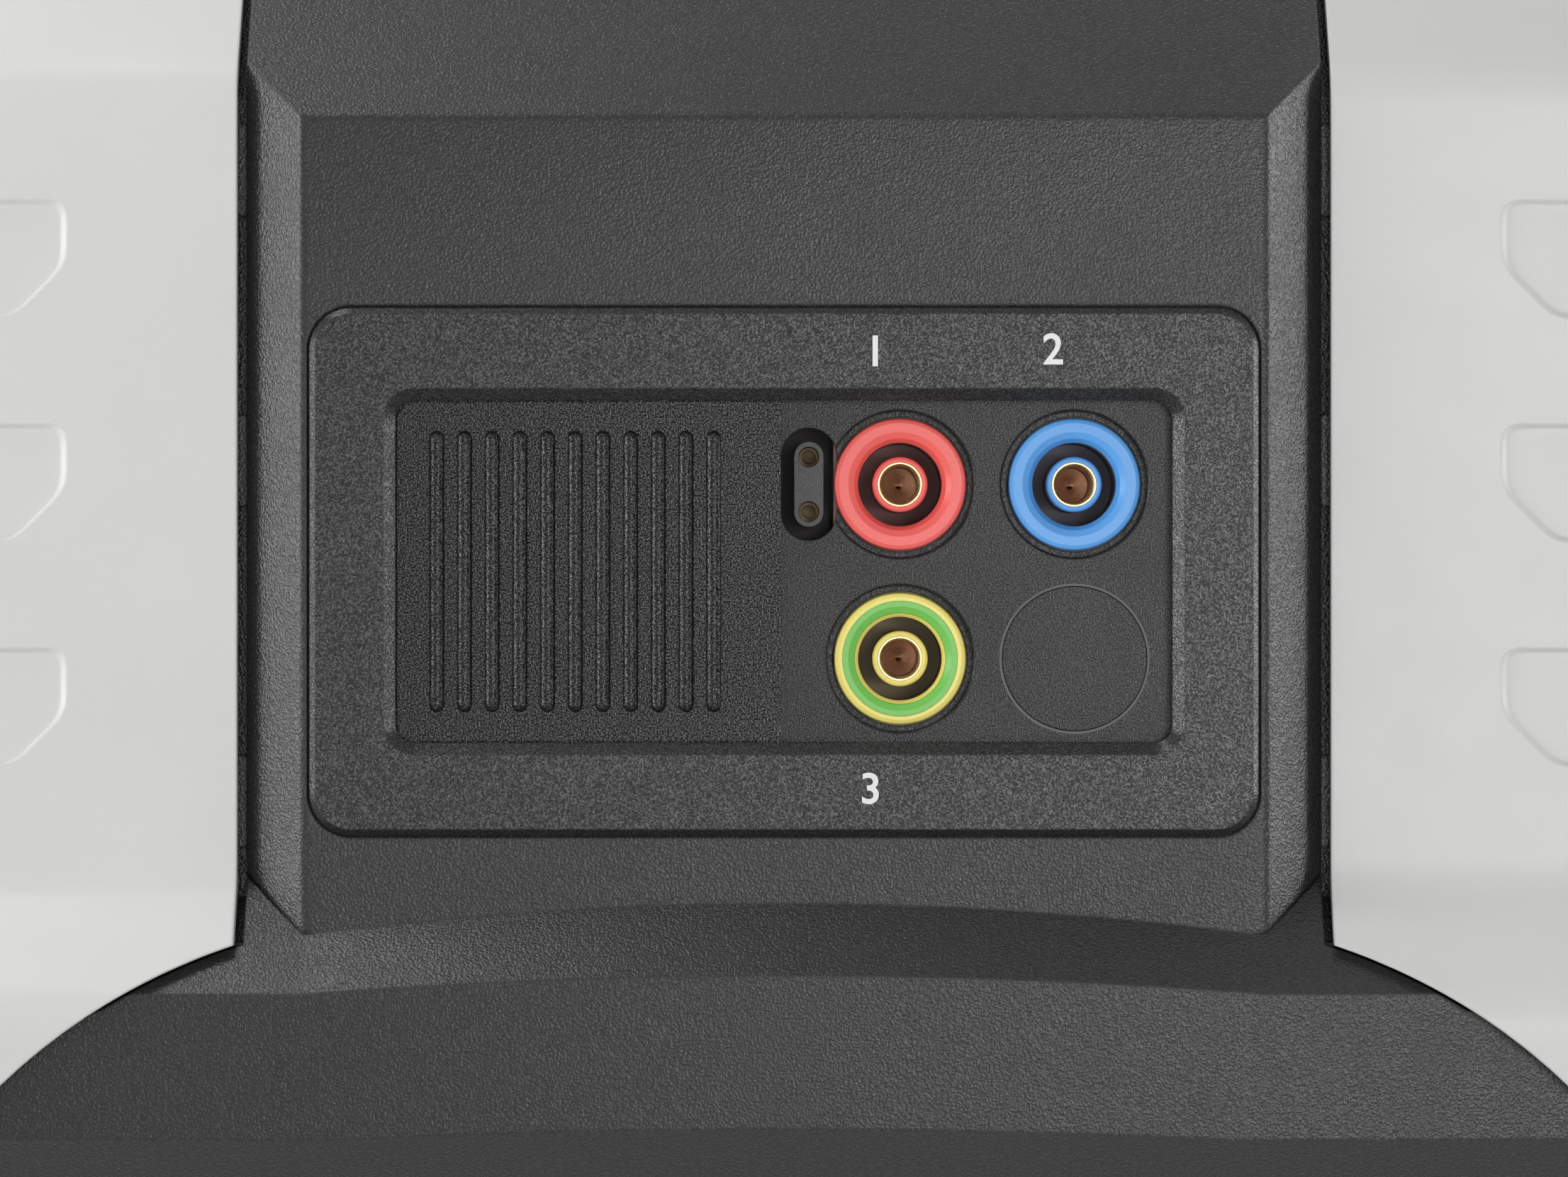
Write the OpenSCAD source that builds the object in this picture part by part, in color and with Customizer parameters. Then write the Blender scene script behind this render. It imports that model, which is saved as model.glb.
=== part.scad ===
// Electrical installation tester: a black two-part housing between two pale grips, with safety
// sockets behind a sliding cover on one side and a sloping control face on the other.
// x runs along the width, y from the sockets (-) to the control face (+), and z is up.

/* [Body] */
// Overall width across the two grips
body_w = 252; // [248:1:262]
// Overall depth between the two feet of the body
body_d = 112; // [110:1:118]
// Overall height with the rubber feet
body_h = 150; // [148:1:158]
// Height of the rubber feet under the housing
foot_h = 5; // [4.5:0.5:6]
// Wall of the two housing halves
shell_wall = 2.5; // [2.2:0.1:2.8]
// Height of the bevel round the bottom
skirt_h = 7; // [6:0.5:8]
// Tilt of the control face from upright, in degrees
face_tilt = 19.5; // [18:0.5:21]
// Height of the upright band under the control face
sill_h = 25; // [23:1:27]

/* [Terminal column] */
// Width across the foot of the terminal column
column_w = 117.4; // [115:0.2:121]
// Height of the column's flat over the side walls
column_raise = 6.3; // [5.8:0.1:6.6]
// Height of the column's flat above the floor line, at its lower edge
plateau_z = 34; // [33:0.5:36]
// Length of the column's flat
plateau_h = 88.8; // [87:0.2:91]
// Step of the lower apron out from the column's flat
apron_out = 6.3; // [5.8:0.1:6.8]
// Rise of the ledge in the middle of the apron
ledge_crown = 3.3; // [2.6:0.1:3.8]
// Bulge of the apron between its two creases
apron_crown = 1.2; // [0.9:0.1:1.4]
// Distance between the two upright creases of the apron
crease_w = 97; // [94:1:100]
// Sweep of the side walls behind the creases, in degrees
sweep = 3; // [2.5:0.25:3.5]
// Depth by which the ledge is sunk under the grips
ledge_sunk = 1.35; // [1.1:0.05:1.5]
// Depth by which the roof's slope is sunk under the grips
roof_sunk = 2.1; // [1.9:0.05:2.2]
// Length that the rounding takes from each wall at the edges of the column's flat
flat_round = 0.7; // [0.4:0.1:1]

/* [Grips] */
// Wall of the grip shells
grip_wall = 2.1; // [1.9:0.1:2.4]
// Clearance between a grip shell and the housing
grip_gap = 0.35; // [0.3:0.05:0.5]
// Gap between the column's foot and the edge of a grip
seam_w = 1; // [0.8:0.1:1.3]
// Depth of the groove in that gap
seam_depth = 1.4; // [1:0.1:1.6]
// Length of the rounded end of a grip
side_round = 20; // [17:1:22]
// Share by which the section shrinks towards the end of a grip
side_shrink = 0.17; // [0.13:0.01:0.2]
// Radius of the arch that the grip leaves over the apron
arch_r = 65; // [62:0.5:67]
// Distance of the arch's centre from the middle
arch_x = 39.5; // [38:0.5:41]
// Depth of the arch's centre below the floor line
arch_drop = 29; // [27:0.5:31]
// Radius of the corners of a grip's opening round the control face
brow_r = 12; // [9:1:14]
// Height of a finger recess
pad_h = 13.2; // [12:0.2:14.5]
// Width of a finger recess
pad_w = 26; // [24:0.5:27]
// Distance of the finger recesses from the middle
pad_x = 78.1; // [77:0.1:80]
// Spacing of the finger recesses
pad_pitch = 24.5; // [23:0.5:25]
// Height of the top of the highest finger recess
pad_top = 114.1; // [112:0.1:116]
// Depth of a finger recess
pad_depth = 0.6; // [0.4:0.1:0.9]
// Length that the rounding takes from each side at a recess's corners
pad_round = 1.8; // [1:0.1:2]

/* [Terminal plate] */
// Width of the terminal plate
plate_w = 103.2; // [101:0.2:103.4]
// Height of the terminal plate
plate_h = 57.4; // [56:0.2:59]
// Corner radius of the terminal plate
plate_r = 4.6; // [3.6:0.2:5.6]
// Thickness of the terminal plate
plate_t = 2; // [1.9:0.1:2.4]
// Depth of the plate's seat in the column
plate_seat = 1.4; // [1.2:0.1:1.6]
// Bevel round the plate's edge
plate_edge = 0.7; // [0.5:0.1:0.9]
// Height of the plate's lower edge above the lower edge of the column's flat
plate_rise = 10.65; // [9.5:0.05:11.5]
// Gap round the plate
plate_gap = 0.2; // [0.15:0.05:0.3]
// Width of the plate's window
window_w = 84.4; // [83:0.2:85.4]
// Height of the plate's window
window_h = 37.2; // [36.4:0.2:38]
// Corner radius of the window
window_r = 2; // [1.6:0.1:2.6]
// Bevel round the window
window_edge = 1.3; // [1:0.1:1.5]

/* [Sliding cover] */
// Width of the sliding cover
cover_w = 41.7; // [40.5:0.1:42]
// Thickness of the sliding cover
cover_t = 1.6; // [1.4:0.1:1.7]
// Thickness of the cover's tongues
tongue_t = 1; // [0.8:0.1:1.1]
// Reach of the tongues behind the plate
tongue_w = 1.5; // [1.2:0.1:1.8]
// Clearance round the cover
slide_gap = 0.15; // [0.1:0.05:0.25]
// Number of finger ribs
rib_n = 11; // [7:1:11]
// Spacing of the finger ribs
rib_pitch = 3.01; // [2.6:0.01:3.1]
// Length of a finger rib
rib_len = 30.6; // [28:0.2:31.6]
// Width of a finger rib at its foot
rib_w = 1.65; // [1.4:0.05:1.9]
// Height of a finger rib
rib_h = 0.6; // [0.4:0.05:0.7]
// Distance of the first rib from the cover's left edge
rib_start = 4.3; // [3.8:0.1:4.8]

/* [Sockets] */
// Spacing of the safety sockets
pitch = 19; // [18.8:0.05:19.1]
// Distance of the first socket column from the middle of the plate
socket_x = 12.65; // [12.6:0.05:13]
// Outer diameter of a socket's collar
collar_d = 14.4; // [14:0.1:14.6]
// Diameter of the hole round a collar
hole_d = 16; // [15.6:0.1:16.2]
// Inner diameter of a collar
throat_d = 9.15; // [8.9:0.05:9.4]
// Diameter of a socket's insulating post
post_d = 6.05; // [5.8:0.05:6.3]
// Bore of a contact, for a 4 mm plug
contact_bore = 4; // [4:0.01:4.1]
// Wall of a contact
contact_wall = 0.42; // [0.35:0.01:0.5]
// Depth of the ring-shaped space in a socket
throat_depth = 15; // [13:0.5:15.5]
// Thickness of the socket carrier
carrier_t = 2.9; // [2.7:0.1:3.2]
// Distance between the two small contacts of the probe inlet
probe_pitch = 5.95; // [5.6:0.05:6.1]
// Diameter of the holes for the probe's pins
probe_bore = 2.2; // [2:0.05:2.3]

/* [Control face] */
// Width of the fascia
fascia_w = 186; // [182:1:188]
// Height of the fascia
fascia_h = 116; // [114:1:118]
// Corner radius of the fascia
fascia_r = 9; // [7:0.5:11]
// Thickness of the fascia
fascia_t = 3.2; // [3:0.1:3.5]
// Depth of the fascia's seat
fascia_seat = 1.2; // [1:0.1:1.4]
// Width of the display's lens
lens_w = 108; // [104:1:110]
// Height of the display's lens
lens_h = 68; // [65:1:69]
// Thickness of the lens
lens_t = 1.5; // [1.2:0.1:1.6]
// Diameter of the selector's skirt
knob_d = 42; // [39:0.5:44]
// Height of the selector over the fascia
knob_h = 15; // [13:0.5:17]
// Diameter of the selector's shaft
shaft_d = 6; // [5.5:0.1:6.5]
// Length of a soft key
soft_w = 20; // [18:0.5:21]
// Width of a soft key
soft_h = 7; // [6:0.5:8]
// Spacing of the soft keys
soft_pitch = 26; // [25:0.5:26.5]
// Diameter of the round keys
round_d = 9; // [8:0.5:10]
// Diameter of the start key
test_d = 16; // [14:0.5:17]
// Height of the keys over the fascia
key_proud = 1.5; // [1.2:0.1:1.8]
// Travel of a key
key_travel = 1; // [0.8:0.1:1.1]

/* [Inside] */
// Diameter of a battery cell
cell_d = 14.2; // [14:0.1:14.5]
// Length of a battery cell
cell_l = 50; // [49.5:0.1:50.5]
// Thickness of the circuit boards
board_t = 1.6; // [1.4:0.1:2]
// Diameter of the housing screws
screw_d = 3; // [2.8:0.1:3.2]

/* [Hidden] */

$fn = 64;
FINE = 720; // facets of the two very large curves
EPS = 0.01;
BIG = 400;

// Levels of the section, worked out from the outside inwards
grip_proud = grip_wall + grip_gap;
y_front = body_d / 2 - grip_proud;
y_apron = apron_crown - body_d / 2;
y_panel = y_apron + apron_out;
y_base = y_panel + column_raise;
z_low = foot_h;
z_top = body_h - grip_proud;
z_skirt = z_low + skirt_h;
z_sill = z_low + sill_h;
skirt_in = 6.5;
z_flat_top = plateau_z + plateau_h;
y_roof = y_panel + z_top - z_flat_top;
face_len = (z_top - z_sill) / cos(face_tilt);
y_brow = y_front - face_len * sin(face_tilt);
y_mid = 0; // the two housing halves part here
crease_x = crease_w / 2;
column_x = column_w / 2;
flat_x = column_x - column_raise;
grip_x = column_x + seam_w;
core_x = body_w / 2 - side_round - 2;
arch_end = arch_x + sqrt(pow(arch_r, 2) - pow(arch_drop + foot_h - grip_proud, 2));

// Levels at the sockets, as heights over the column's flat
z_plate = plateau_z + plate_rise + plate_h / 2;
floor_c = -shell_wall - 0.4;
cover_bottom = floor_c + 2 * slide_gap;
cover_top = cover_bottom + cover_t;
carrier_back = -shell_wall - carrier_t;
collar_c = floor_c - 0.2;
board_c = collar_c - throat_depth - 5;
carrier_w = 94;
carrier_h = 50;
well_w = window_w + 2;
well_h = window_h + 2 * (tongue_w + slide_gap) + 0.6;
cover_left = -window_w / 2 + slide_gap;
service_z = 0;
jack_x = -33.5;
data_x = -21;
serial_x = -8.6;

// Levels on the control face, as heights over the housing's front wall
fascia_back = -fascia_seat;
fascia_top = fascia_t - fascia_seat;
key_gap = 0.25;
flange_t = 1.2;
flange_out = 1.4;
mat_top = fascia_back - 0.2 - flange_t - key_travel - 0.25;
mat_t = 1.5;
keyboard_top = mat_top - mat_t;
spacer_l = 15;
mainboard_top = keyboard_top - board_t - spacer_l;
lens_u = -30;
lens_v = 18;
knob_u = 56;
knob_v = 26;
nav_v = -28.5;
nav_r = 17;
soft_v = -26;
row_v = -44;
knob_c = fascia_top + 0.4;
switch_h = 3.4;

// Battery bay
bay_y = -27.4;
bay_gap = 0.5;
row_gap = cell_d + 0.5;
door_x = 80;
door_y0 = bay_y - 17;
door_y1 = -2.2;
tray_base = z_low + shell_wall;
cell_z = tray_base + 1 + cell_d / 2;
bay_x = 1.5 * cell_l + 2.6;
bay_half = row_gap / 2 + cell_d / 2 + bay_gap;
door_screw_x = 42;
door_screw_y = -6.1;
boss_x = core_x - shell_wall - 3.6;
boss_z = [52, 112];
grip_screw_z = [58, 98];
grip_screw_y = -9;

black = [0.13, 0.13, 0.14];
coal = [0.1, 0.1, 0.11];
pale = [0.83, 0.83, 0.82];
key_grey = [0.55, 0.56, 0.58];
brass = [0.78, 0.6, 0.3];
steel = [0.72, 0.73, 0.75];
board_green = [0.1, 0.35, 0.2];
rubber = [0.08, 0.08, 0.08];

// Local x across, y up and z towards whoever looks at the sockets, from the column's flat.
module at_panel() translate([0, y_panel, z_plate]) rotate([90, 0, 0]) children();

// Local x to the user's right, y up the control face and z out of it, from its middle.
module at_face()
    translate([0, (y_front + y_brow) / 2, (z_sill + z_top) / 2])
        rotate([90 - face_tilt, 0, 180]) children();

module both_sides() {
    children();
    mirror([1, 0, 0]) children();
}

// Outlines drawn with true arcs

module rounded_outline(w, h, r) {
    square([w - 2 * r, h], center = true);
    square([w, h - 2 * r], center = true);
    for (x = [-1, 1], y = [-1, 1])
        translate([x * (w / 2 - r), y * (h / 2 - r)]) circle(r);
}

module slab(w, h, r, t) linear_extrude(t) rounded_outline(w, h, r);

// A bevelled layer: w by h at its foot, smaller by c all round at its top
module bevel_layer(w, h, r, c) {
    rotate([90, 0, 90]) linear_extrude(w - 2 * r, center = true)
        polygon([[-h / 2, 0], [h / 2, 0], [h / 2 - c, c], [c - h / 2, c]]);
    rotate([90, 0, 0]) linear_extrude(h - 2 * r, center = true)
        polygon([[-w / 2, 0], [w / 2, 0], [w / 2 - c, c], [c - w / 2, c]]);
    for (x = [-1, 1], y = [-1, 1])
        translate([x * (w / 2 - r), y * (h / 2 - r), 0]) cylinder(c, r, r - c);
}

module bevelled_slab(w, h, r, t, c) {
    slab(w, h, r, t - c);
    translate([0, 0, t - c]) bevel_layer(w, h, r, c);
}

module stadium(w, h, t) {
    slab(w, h, w / 2 - EPS, t);
}

module tube(r_out, r_in, h) difference() {
    cylinder(h, r_out, r_out);
    translate([0, 0, -1]) cylinder(h + 2, r_in, r_in);
}

// Section of the body, seen along x, as [y, z] corners in order from the rear foot

function section_corners(ledge_down, roof_down) = [
    [y_apron + skirt_in, z_low], [y_apron, z_skirt], [y_apron, plateau_z - apron_out - ledge_down],
    [y_base, plateau_z + column_raise - ledge_down], [y_base, z_flat_top + column_raise - roof_down],
    [y_roof + roof_down, z_top], [y_brow, z_top], [y_front, z_sill], [y_front, z_skirt],
    [y_front - skirt_in, z_low]
];
shown_corners = section_corners(0, 0); // where the housing is bare
core_corners = section_corners(ledge_sunk * sqrt(2), roof_sunk * sqrt(2)); // under the grips
SWEPT = 5; // the corners up to this one belong to the swept rear wall

function unit(v) = v / norm(v);
function out_of(a, b) = let (d = unit(b - a)) [-d[1], d[0]];

// The corners moved outwards by d, each along the bisector of its two walls
function grown(p, d) = let (n = len(p)) [
    for (i = [0:n - 1])
        let (m = out_of(p[(i + n - 1) % n], p[i]), k = out_of(p[i], p[(i + 1) % n]))
            p[i] + d * (m + k) / (1 + m * k)
];

// Points of a parabola that rounds corner b between a and c, starting t before it
function eased(a, b, c, t, steps) = let (s = b + t * unit(a - b), e = b + t * unit(c - b)) [
    for (i = [0:steps]) let (k = i / steps) (1 - k) * (1 - k) * s + 2 * k * (1 - k) * b + k * k * e
];

// The corners of outline p, those named in rounded_ones eased and the others kept
function soft_outline(p, rounded_ones, t, steps = 4) = let (n = len(p)) [
    for (i = [0:n - 1]) each len(search(i, rounded_ones)) > 0
        ? eased(p[(i + n - 1) % n], p[i], p[(i + 1) % n], t, steps)
        : [p[i]]
];

module section_prism(corners, length) rotate([90, 0, 90]) linear_extrude(length) polygon(corners);

// A section carried along x: straight between the creases, swept back outside them
module swept_body(corners, x_end) {
    n = len(corners);
    places = [-x_end, -crease_x, crease_x, x_end];
    centre = [0, body_h * 0.4];
    function swept(q, x) = [x, q[0] + max(0, abs(x) - crease_x) * tan(sweep), q[1]];
    polyhedron(
        concat([for (x = places, q = corners) swept(q, x)], [swept(centre, -x_end), swept(centre, x_end)]),
        [
            for (j = [0:2], i = [0:n - 1]) let (k = (i + 1) % n, a = j * n, b = a + n)
                each [[a + i, b + k, b + i], [a + i, a + k, b + k]],
            for (i = [0:n - 1]) let (k = (i + 1) % n)
                each [[k, i, 4 * n], [3 * n + i, 3 * n + k, 4 * n + 1]]
        ]
    );
}

module straight_body(corners, x_end) translate([-x_end, 0, 0]) section_prism(corners, 2 * x_end);

// Grip shells, lofted from the body's section

ROUND = 4; // steps round each corner of a grip's section
END_STEPS = 7; // sections in the rounded end of a grip
END_ANGLE = 74;
grip_mid = [0, body_h / 2 + 1];

function grip_loop(d, t) = let (p = grown(core_corners, d), n = len(p)) [
    for (i = [0:n - 1]) each [
        for (q = eased(p[(i + n - 1) % n], p[i], p[(i + 1) % n], t, ROUND)) [q[0], q[1], i <= SWEPT ? 1 : 0]
    ]
];

// Stations along a grip as [x, scale of the section]
function grip_stations() = let (x_turn = body_w / 2 - side_round) concat(
    [for (k = [0:2]) [grip_x + k / 3 * (x_turn - grip_x), 1]],
    [
        for (k = [0:END_STEPS]) let (a = k / END_STEPS * END_ANGLE)
            [x_turn + side_round * sin(a) / sin(END_ANGLE), 1 - side_shrink * (1 - cos(a)) / (1 - cos(END_ANGLE))]
    ]
);

function grip_point(q, x, s) = [
    x,
    grip_mid[0] + s * (q[0] - grip_mid[0]) + q[2] * (x - crease_x) * tan(sweep),
    grip_mid[1] + s * (q[1] - grip_mid[1])
];

module grip_shell() {
    outer = grip_loop(grip_proud, 3);
    inner = grip_loop(grip_gap, 0.7);
    stations = grip_stations();
    n = len(outer);
    m = len(stations);
    squeeze = 1 - grip_wall / (body_w / 2 - grip_x);
    points = concat(
        [for (s = stations, q = outer) grip_point(q, s[0], s[1])],
        [for (s = stations, q = inner) grip_point(q, grip_x + (s[0] - grip_x) * squeeze, s[1])],
        [grip_point([grip_mid[0], grip_mid[1], 0], body_w / 2, 1)],
        [grip_point([grip_mid[0], grip_mid[1], 0], body_w / 2 - grip_wall, 1)]
    );
    last = (m - 1) * n;
    faces = [
        for (j = [0:m - 2], i = [0:n - 1]) let (k = (i + 1) % n, a = j * n, b = a + n, c = m * n) each [
            [a + i, b + k, b + i], [a + i, a + k, b + k],
            [c + a + i, c + b + i, c + b + k], [c + a + i, c + b + k, c + a + k]
        ],
        for (i = [0:n - 1]) let (k = (i + 1) % n, c = m * n) each [
            [i, c + k, k], [i, c + i, c + k],
            [last + i, last + k, 2 * m * n],
            [c + last + i, 2 * m * n + 1, c + last + k]
        ]
    ];
    polyhedron(points, faces);
}

// One finger recess, cut along the swept wall
module finger_recess(z_upper) {
    wall_x = pad_x - crease_x;
    translate([crease_x, y_base - grip_proud, z_upper]) rotate([90, 0, sweep])
        translate([wall_x + pad_w / 2, -pad_h / 2, -pad_depth])
            linear_extrude(pad_depth + 1, scale = 1.16) polygon(soft_outline([
                for (q = [
                    [-1, 1], [-1, -0.1], [-0.54, -1], [0.54, -1], [1, -0.1], [1, 1]
                ]) 0.92 * [q[0] * pad_w / 2, q[1] * pad_h / 2]
            ], [0, 1, 2, 3, 4, 5], pad_round, 3));
}

module grip() {
    color(pale) difference() {
        union() {
            grip_shell();
            for (z = grip_screw_z) translate([core_x + grip_gap, grip_screw_y, z]) rotate([0, 90, 0])
                cylinder(body_w / 2 - core_x - grip_wall, 4.6, 4.6);
        }
        // arch over the apron
        translate([arch_x, 0, -arch_drop]) rotate([90, 0, 0]) cylinder(BIG / 4, arch_r, arch_r, $fn = 180);
        // opening round the control face, and below it
        at_face() translate([0, -BIG / 2 + face_len / 2 + 6, -grip_gap / 2])
            slab(2 * arch_end, BIG, brow_r, 20);
        translate([0, 0, -1]) cube([arch_end, BIG / 4, z_sill + 2]);
        for (k = [0:2]) finger_recess(pad_top - k * pad_pitch);
        for (z = grip_screw_z) translate([core_x - 1, grip_screw_y, z]) rotate([0, 90, 0]) {
            cylinder(BIG / 8, screw_d / 2 + 0.2, screw_d / 2 + 0.2);
            translate([0, 0, 6]) cylinder(BIG / 8, screw_d + 0.3, screw_d + 0.3);
        }
    }
}

module right_grip() grip();
module left_grip() mirror([1, 0, 0]) grip();

// Rear housing

// The raised column: its flat, its two side strips and the ends that follow roof and ledge
module column_block() intersection() {
    translate([-BIG / 2, 0, 0]) rotate([90, 0, 90]) linear_extrude(BIG) polygon(soft_outline([
        [y_panel, plateau_z], [y_panel, z_flat_top], [y_roof, z_top], [y_roof + 6, z_top],
        [y_base + 2, z_flat_top - 4], [y_base + 2, plateau_z + column_raise + 2]
    ], [1], flat_round));
    linear_extrude(BIG) polygon(soft_outline([
        [-flat_x, y_panel], [flat_x, y_panel], [column_x, y_base], [column_x, y_roof + 8],
        [-column_x, y_roof + 8], [-column_x, y_base]
    ], [0, 1], flat_round));
}

// The bare ledge between the column's foot and the arches of the grips
module bare_ledge() intersection() {
    swept_body(shown_corners, core_x);
    translate([-BIG / 2, y_apron - 5, z_skirt + 1]) cube([BIG, 30, plateau_z + column_raise - z_skirt]);
    union() {
        translate([-column_x, -BIG / 4, 0]) cube([2 * column_x, BIG / 2, BIG]);
        both_sides() translate([arch_x, 0, -arch_drop]) rotate([90, 0, 0])
            cylinder(BIG / 4, arch_r - 0.3, arch_r - 0.3);
    }
}

// The crowned middle of the ledge and the apron, which two very large cylinders shape. The crown of
// the ledge runs out where the column's flat ends, level with the swept ledge there.
module crown_block() {
    rise = ledge_crown / sqrt(2);
    drop = rise + (flat_x - crease_x) * tan(sweep) / sqrt(2);
    ledge_r = (pow(flat_x, 2) + pow(drop, 2)) / (2 * drop);
    apron_r = (pow(crease_x, 2) + pow(apron_crown, 2)) / (2 * apron_crown);
    depth = 14;
    end_x = flat_x + 2;
    y_crease = y_apron + 2 * EPS;
    y_end = y_crease + (end_x - crease_x) * tan(sweep);
    intersection() {
        translate([0, y_panel, plateau_z]) rotate([45, 0, 0]) translate([0, 0, rise - ledge_r])
            rotate([90, 0, 0]) cylinder(BIG, ledge_r, ledge_r, center = true, $fn = FINE);
        union() {
            intersection() {
                translate([-crease_x, y_apron - apron_crown, z_low]) cube([2 * crease_x, depth, plateau_z]);
                translate([0, y_apron - apron_crown + apron_r, 0]) cylinder(BIG / 4, apron_r, apron_r, $fn = FINE);
                // bevel at the bottom, carried on from the skirt
                rotate([90, 0, 90]) linear_extrude(BIG, center = true) polygon([
                    [y_apron + skirt_in, z_low], [y_apron - skirt_in, z_skirt + skirt_h],
                    [y_apron - skirt_in, BIG / 2], [y_apron + 30, BIG / 2], [y_apron + 30, z_low]
                ]);
            }
            // ends of the crowned ledge, just behind the swept wall
            translate([0, 0, z_skirt + 1]) linear_extrude(plateau_z + 3.5 - z_skirt - 1) polygon([
                [-end_x, y_end], [-crease_x, y_crease], [crease_x, y_crease], [end_x, y_end],
                [end_x, y_apron + depth], [-end_x, y_apron + depth]
            ]);
        }
    }
}

clip_len = 10;
clip_z = [48.2, 85.5, 117.3];

// Groove along the edge of each grip, left standing where the three clips bridge it
module seam_groove() difference() {
    both_sides() difference() {
        translate([column_x, -BIG / 4, plateau_z - 1]) cube([seam_w + 0.6, BIG / 4 - 4, BIG]);
        for (z = clip_z) translate([column_x - 1, y_base + 0.5, z - clip_len / 2]) cube([4, 20, clip_len]);
    }
    swept_body(grown(core_corners, -seam_depth), core_x - 10);
}

module housing_bosses(from_y, to_y, r) both_sides() for (z = boss_z)
    translate([boss_x, from_y, z]) rotate([-90, 0, 0]) cylinder(to_y - from_y, r, r);

boss_head_y = y_base + (boss_x - crease_x) * tan(sweep) + 3;

module rear_housing() color(black) difference() {
    union() {
        difference() {
            union() {
                swept_body(core_corners, core_x);
                bare_ledge();
                column_block();
                crown_block();
            }
            swept_body(grown(core_corners, -shell_wall), core_x - shell_wall);
            // hollow behind the column's flat
            translate([-flat_x + 3, y_panel + shell_wall, plateau_z + 3])
                cube([2 * flat_x - 6, 20, plateau_h - 4]);
        }
        housing_bosses(boss_head_y - 2, y_mid + 1, 4.5);
        both_sides() for (z = grip_screw_z) translate([core_x - 10, grip_screw_y - 4, z - 4])
            cube([10 - shell_wall / 2, 8, 8]);
        for (x = [-1, 1]) translate([x * door_screw_x, door_screw_y, z_low + shell_wall / 2]) {
            cylinder(11, 3.6, 3.6);
            translate([-2, 0, 0]) cube([4, 1 - door_screw_y, 11]);
        }
    }
    seam_groove();
    // everything in front of the parting plane
    translate([-BIG / 2, y_mid, -1]) cube([BIG, BIG, BIG]);
    at_panel() {
        translate([0, 0, -plate_seat])
            slab(plate_w + 2 * plate_gap, plate_h + 2 * plate_gap, plate_r + plate_gap, 10);
        slab_through(well_w, well_h);
    }
    housing_bosses(y_base - 20, 10, screw_d / 2 + 0.2);
    housing_bosses(y_base - 20, boss_head_y, screw_d + 0.3);
    both_sides() for (z = grip_screw_z) translate([core_x - 12, grip_screw_y, z]) rotate([0, 90, 0])
        cylinder(20, screw_d / 2 + 0.05, screw_d / 2 + 0.05);
    translate([-door_x - 0.3, door_y0 - 0.3, -1])
        cube([2 * door_x + 0.6, door_y1 - door_y0 + 0.6, z_low + shell_wall + 1]);
    for (x = [-1, 1]) translate([x * door_screw_x, door_screw_y, 0])
        cylinder(z_low + 11, screw_d / 2 + 0.05, screw_d / 2 + 0.05);
    foot_sockets();
}

module slab_through(w, h) translate([-w / 2, -h / 2, -20]) cube([w, h, 30]);

// Front housing

opening_w = fascia_w - 14;
opening_h = fascia_h - 12;
post_u = 82;
post_v = 46;

module front_housing() color(black) difference() {
    union() {
        difference() {
            straight_body(core_corners, core_x);
            straight_body(grown(core_corners, -shell_wall), core_x - shell_wall);
        }
        intersection() {
            union() {
                housing_bosses(y_mid, BIG / 4, 4.5);
                at_face() for (u = [-1, 1], v = [-1, 1]) translate([u * (opening_w / 2 + 1), v * post_v, keyboard_top])
                    cylinder(-keyboard_top, 3.2, 3.2);
            }
            straight_body(grown(core_corners, -EPS), core_x);
        }
    }
    translate([-BIG / 2, -BIG + y_mid, -1]) cube([BIG, BIG, BIG]);
    at_face() {
        translate([0, 0, fascia_back]) slab(fascia_w + 0.4, fascia_h + 0.4, fascia_r + 0.2, 20);
        difference() {
            translate([0, 0, -shell_wall - 1]) slab(opening_w, opening_h, 5, 20);
            for (u = [-1, 1], v = [-1, 1]) translate([u * (opening_w / 2 + 1), v * post_v, keyboard_top - 1])
                cylinder(-keyboard_top, 3.2, 3.2);
        }
        for (u = [-1, 1], v = [-1, 1]) translate([u * (opening_w / 2 + 1), v * post_v, keyboard_top - 1])
            cylinder(4, 1.2, 1.2);
    }
    housing_bosses(-10, y_mid + 12, screw_d / 2 + 0.05);
    foot_sockets();
}

// Rubber feet

foot_x = 88;
foot_y = 38;
foot_r = 5.5;
plug_r = 2;

module foot_places() for (x = [-1, 1], y = [-1, 1]) translate([x * foot_x, y * foot_y, 0]) children();

module foot_sockets() foot_places() translate([0, 0, z_low - 1]) cylinder(1.8, foot_r, foot_r);

module feet() color(rubber) foot_places() {
    cylinder(1, foot_r - 1, foot_r);
    translate([0, 0, 1]) cylinder(z_low - 1 + 0.6, foot_r - 0.15, foot_r - 0.15);
}

// Terminal plate, carrier and cover

module terminal_plate() color(coal) at_panel() difference() {
    translate([0, 0, -plate_seat]) bevelled_slab(plate_w, plate_h, plate_r, plate_t, plate_edge);
    translate([0, 0, -5]) slab(window_w, window_h, window_r, 10);
    translate([0, 0, plate_t - plate_seat]) mirror([0, 0, 1])
        bevel_layer(window_w + 2 * window_edge, window_h + 2 * window_edge, window_r + window_edge, window_edge);
}

module socket_places(with_blank = false) for (q = [[0, 1], [1, 1], [0, -1]])
    translate([socket_x + q[0] * pitch, q[1] * pitch / 2, 0]) children();

moat_floor = 0.9;
hole_edge = 0.2;
probe_x = socket_x - 9.95;
probe_w = 6.1;
probe_h = probe_pitch + 6.35;

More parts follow.
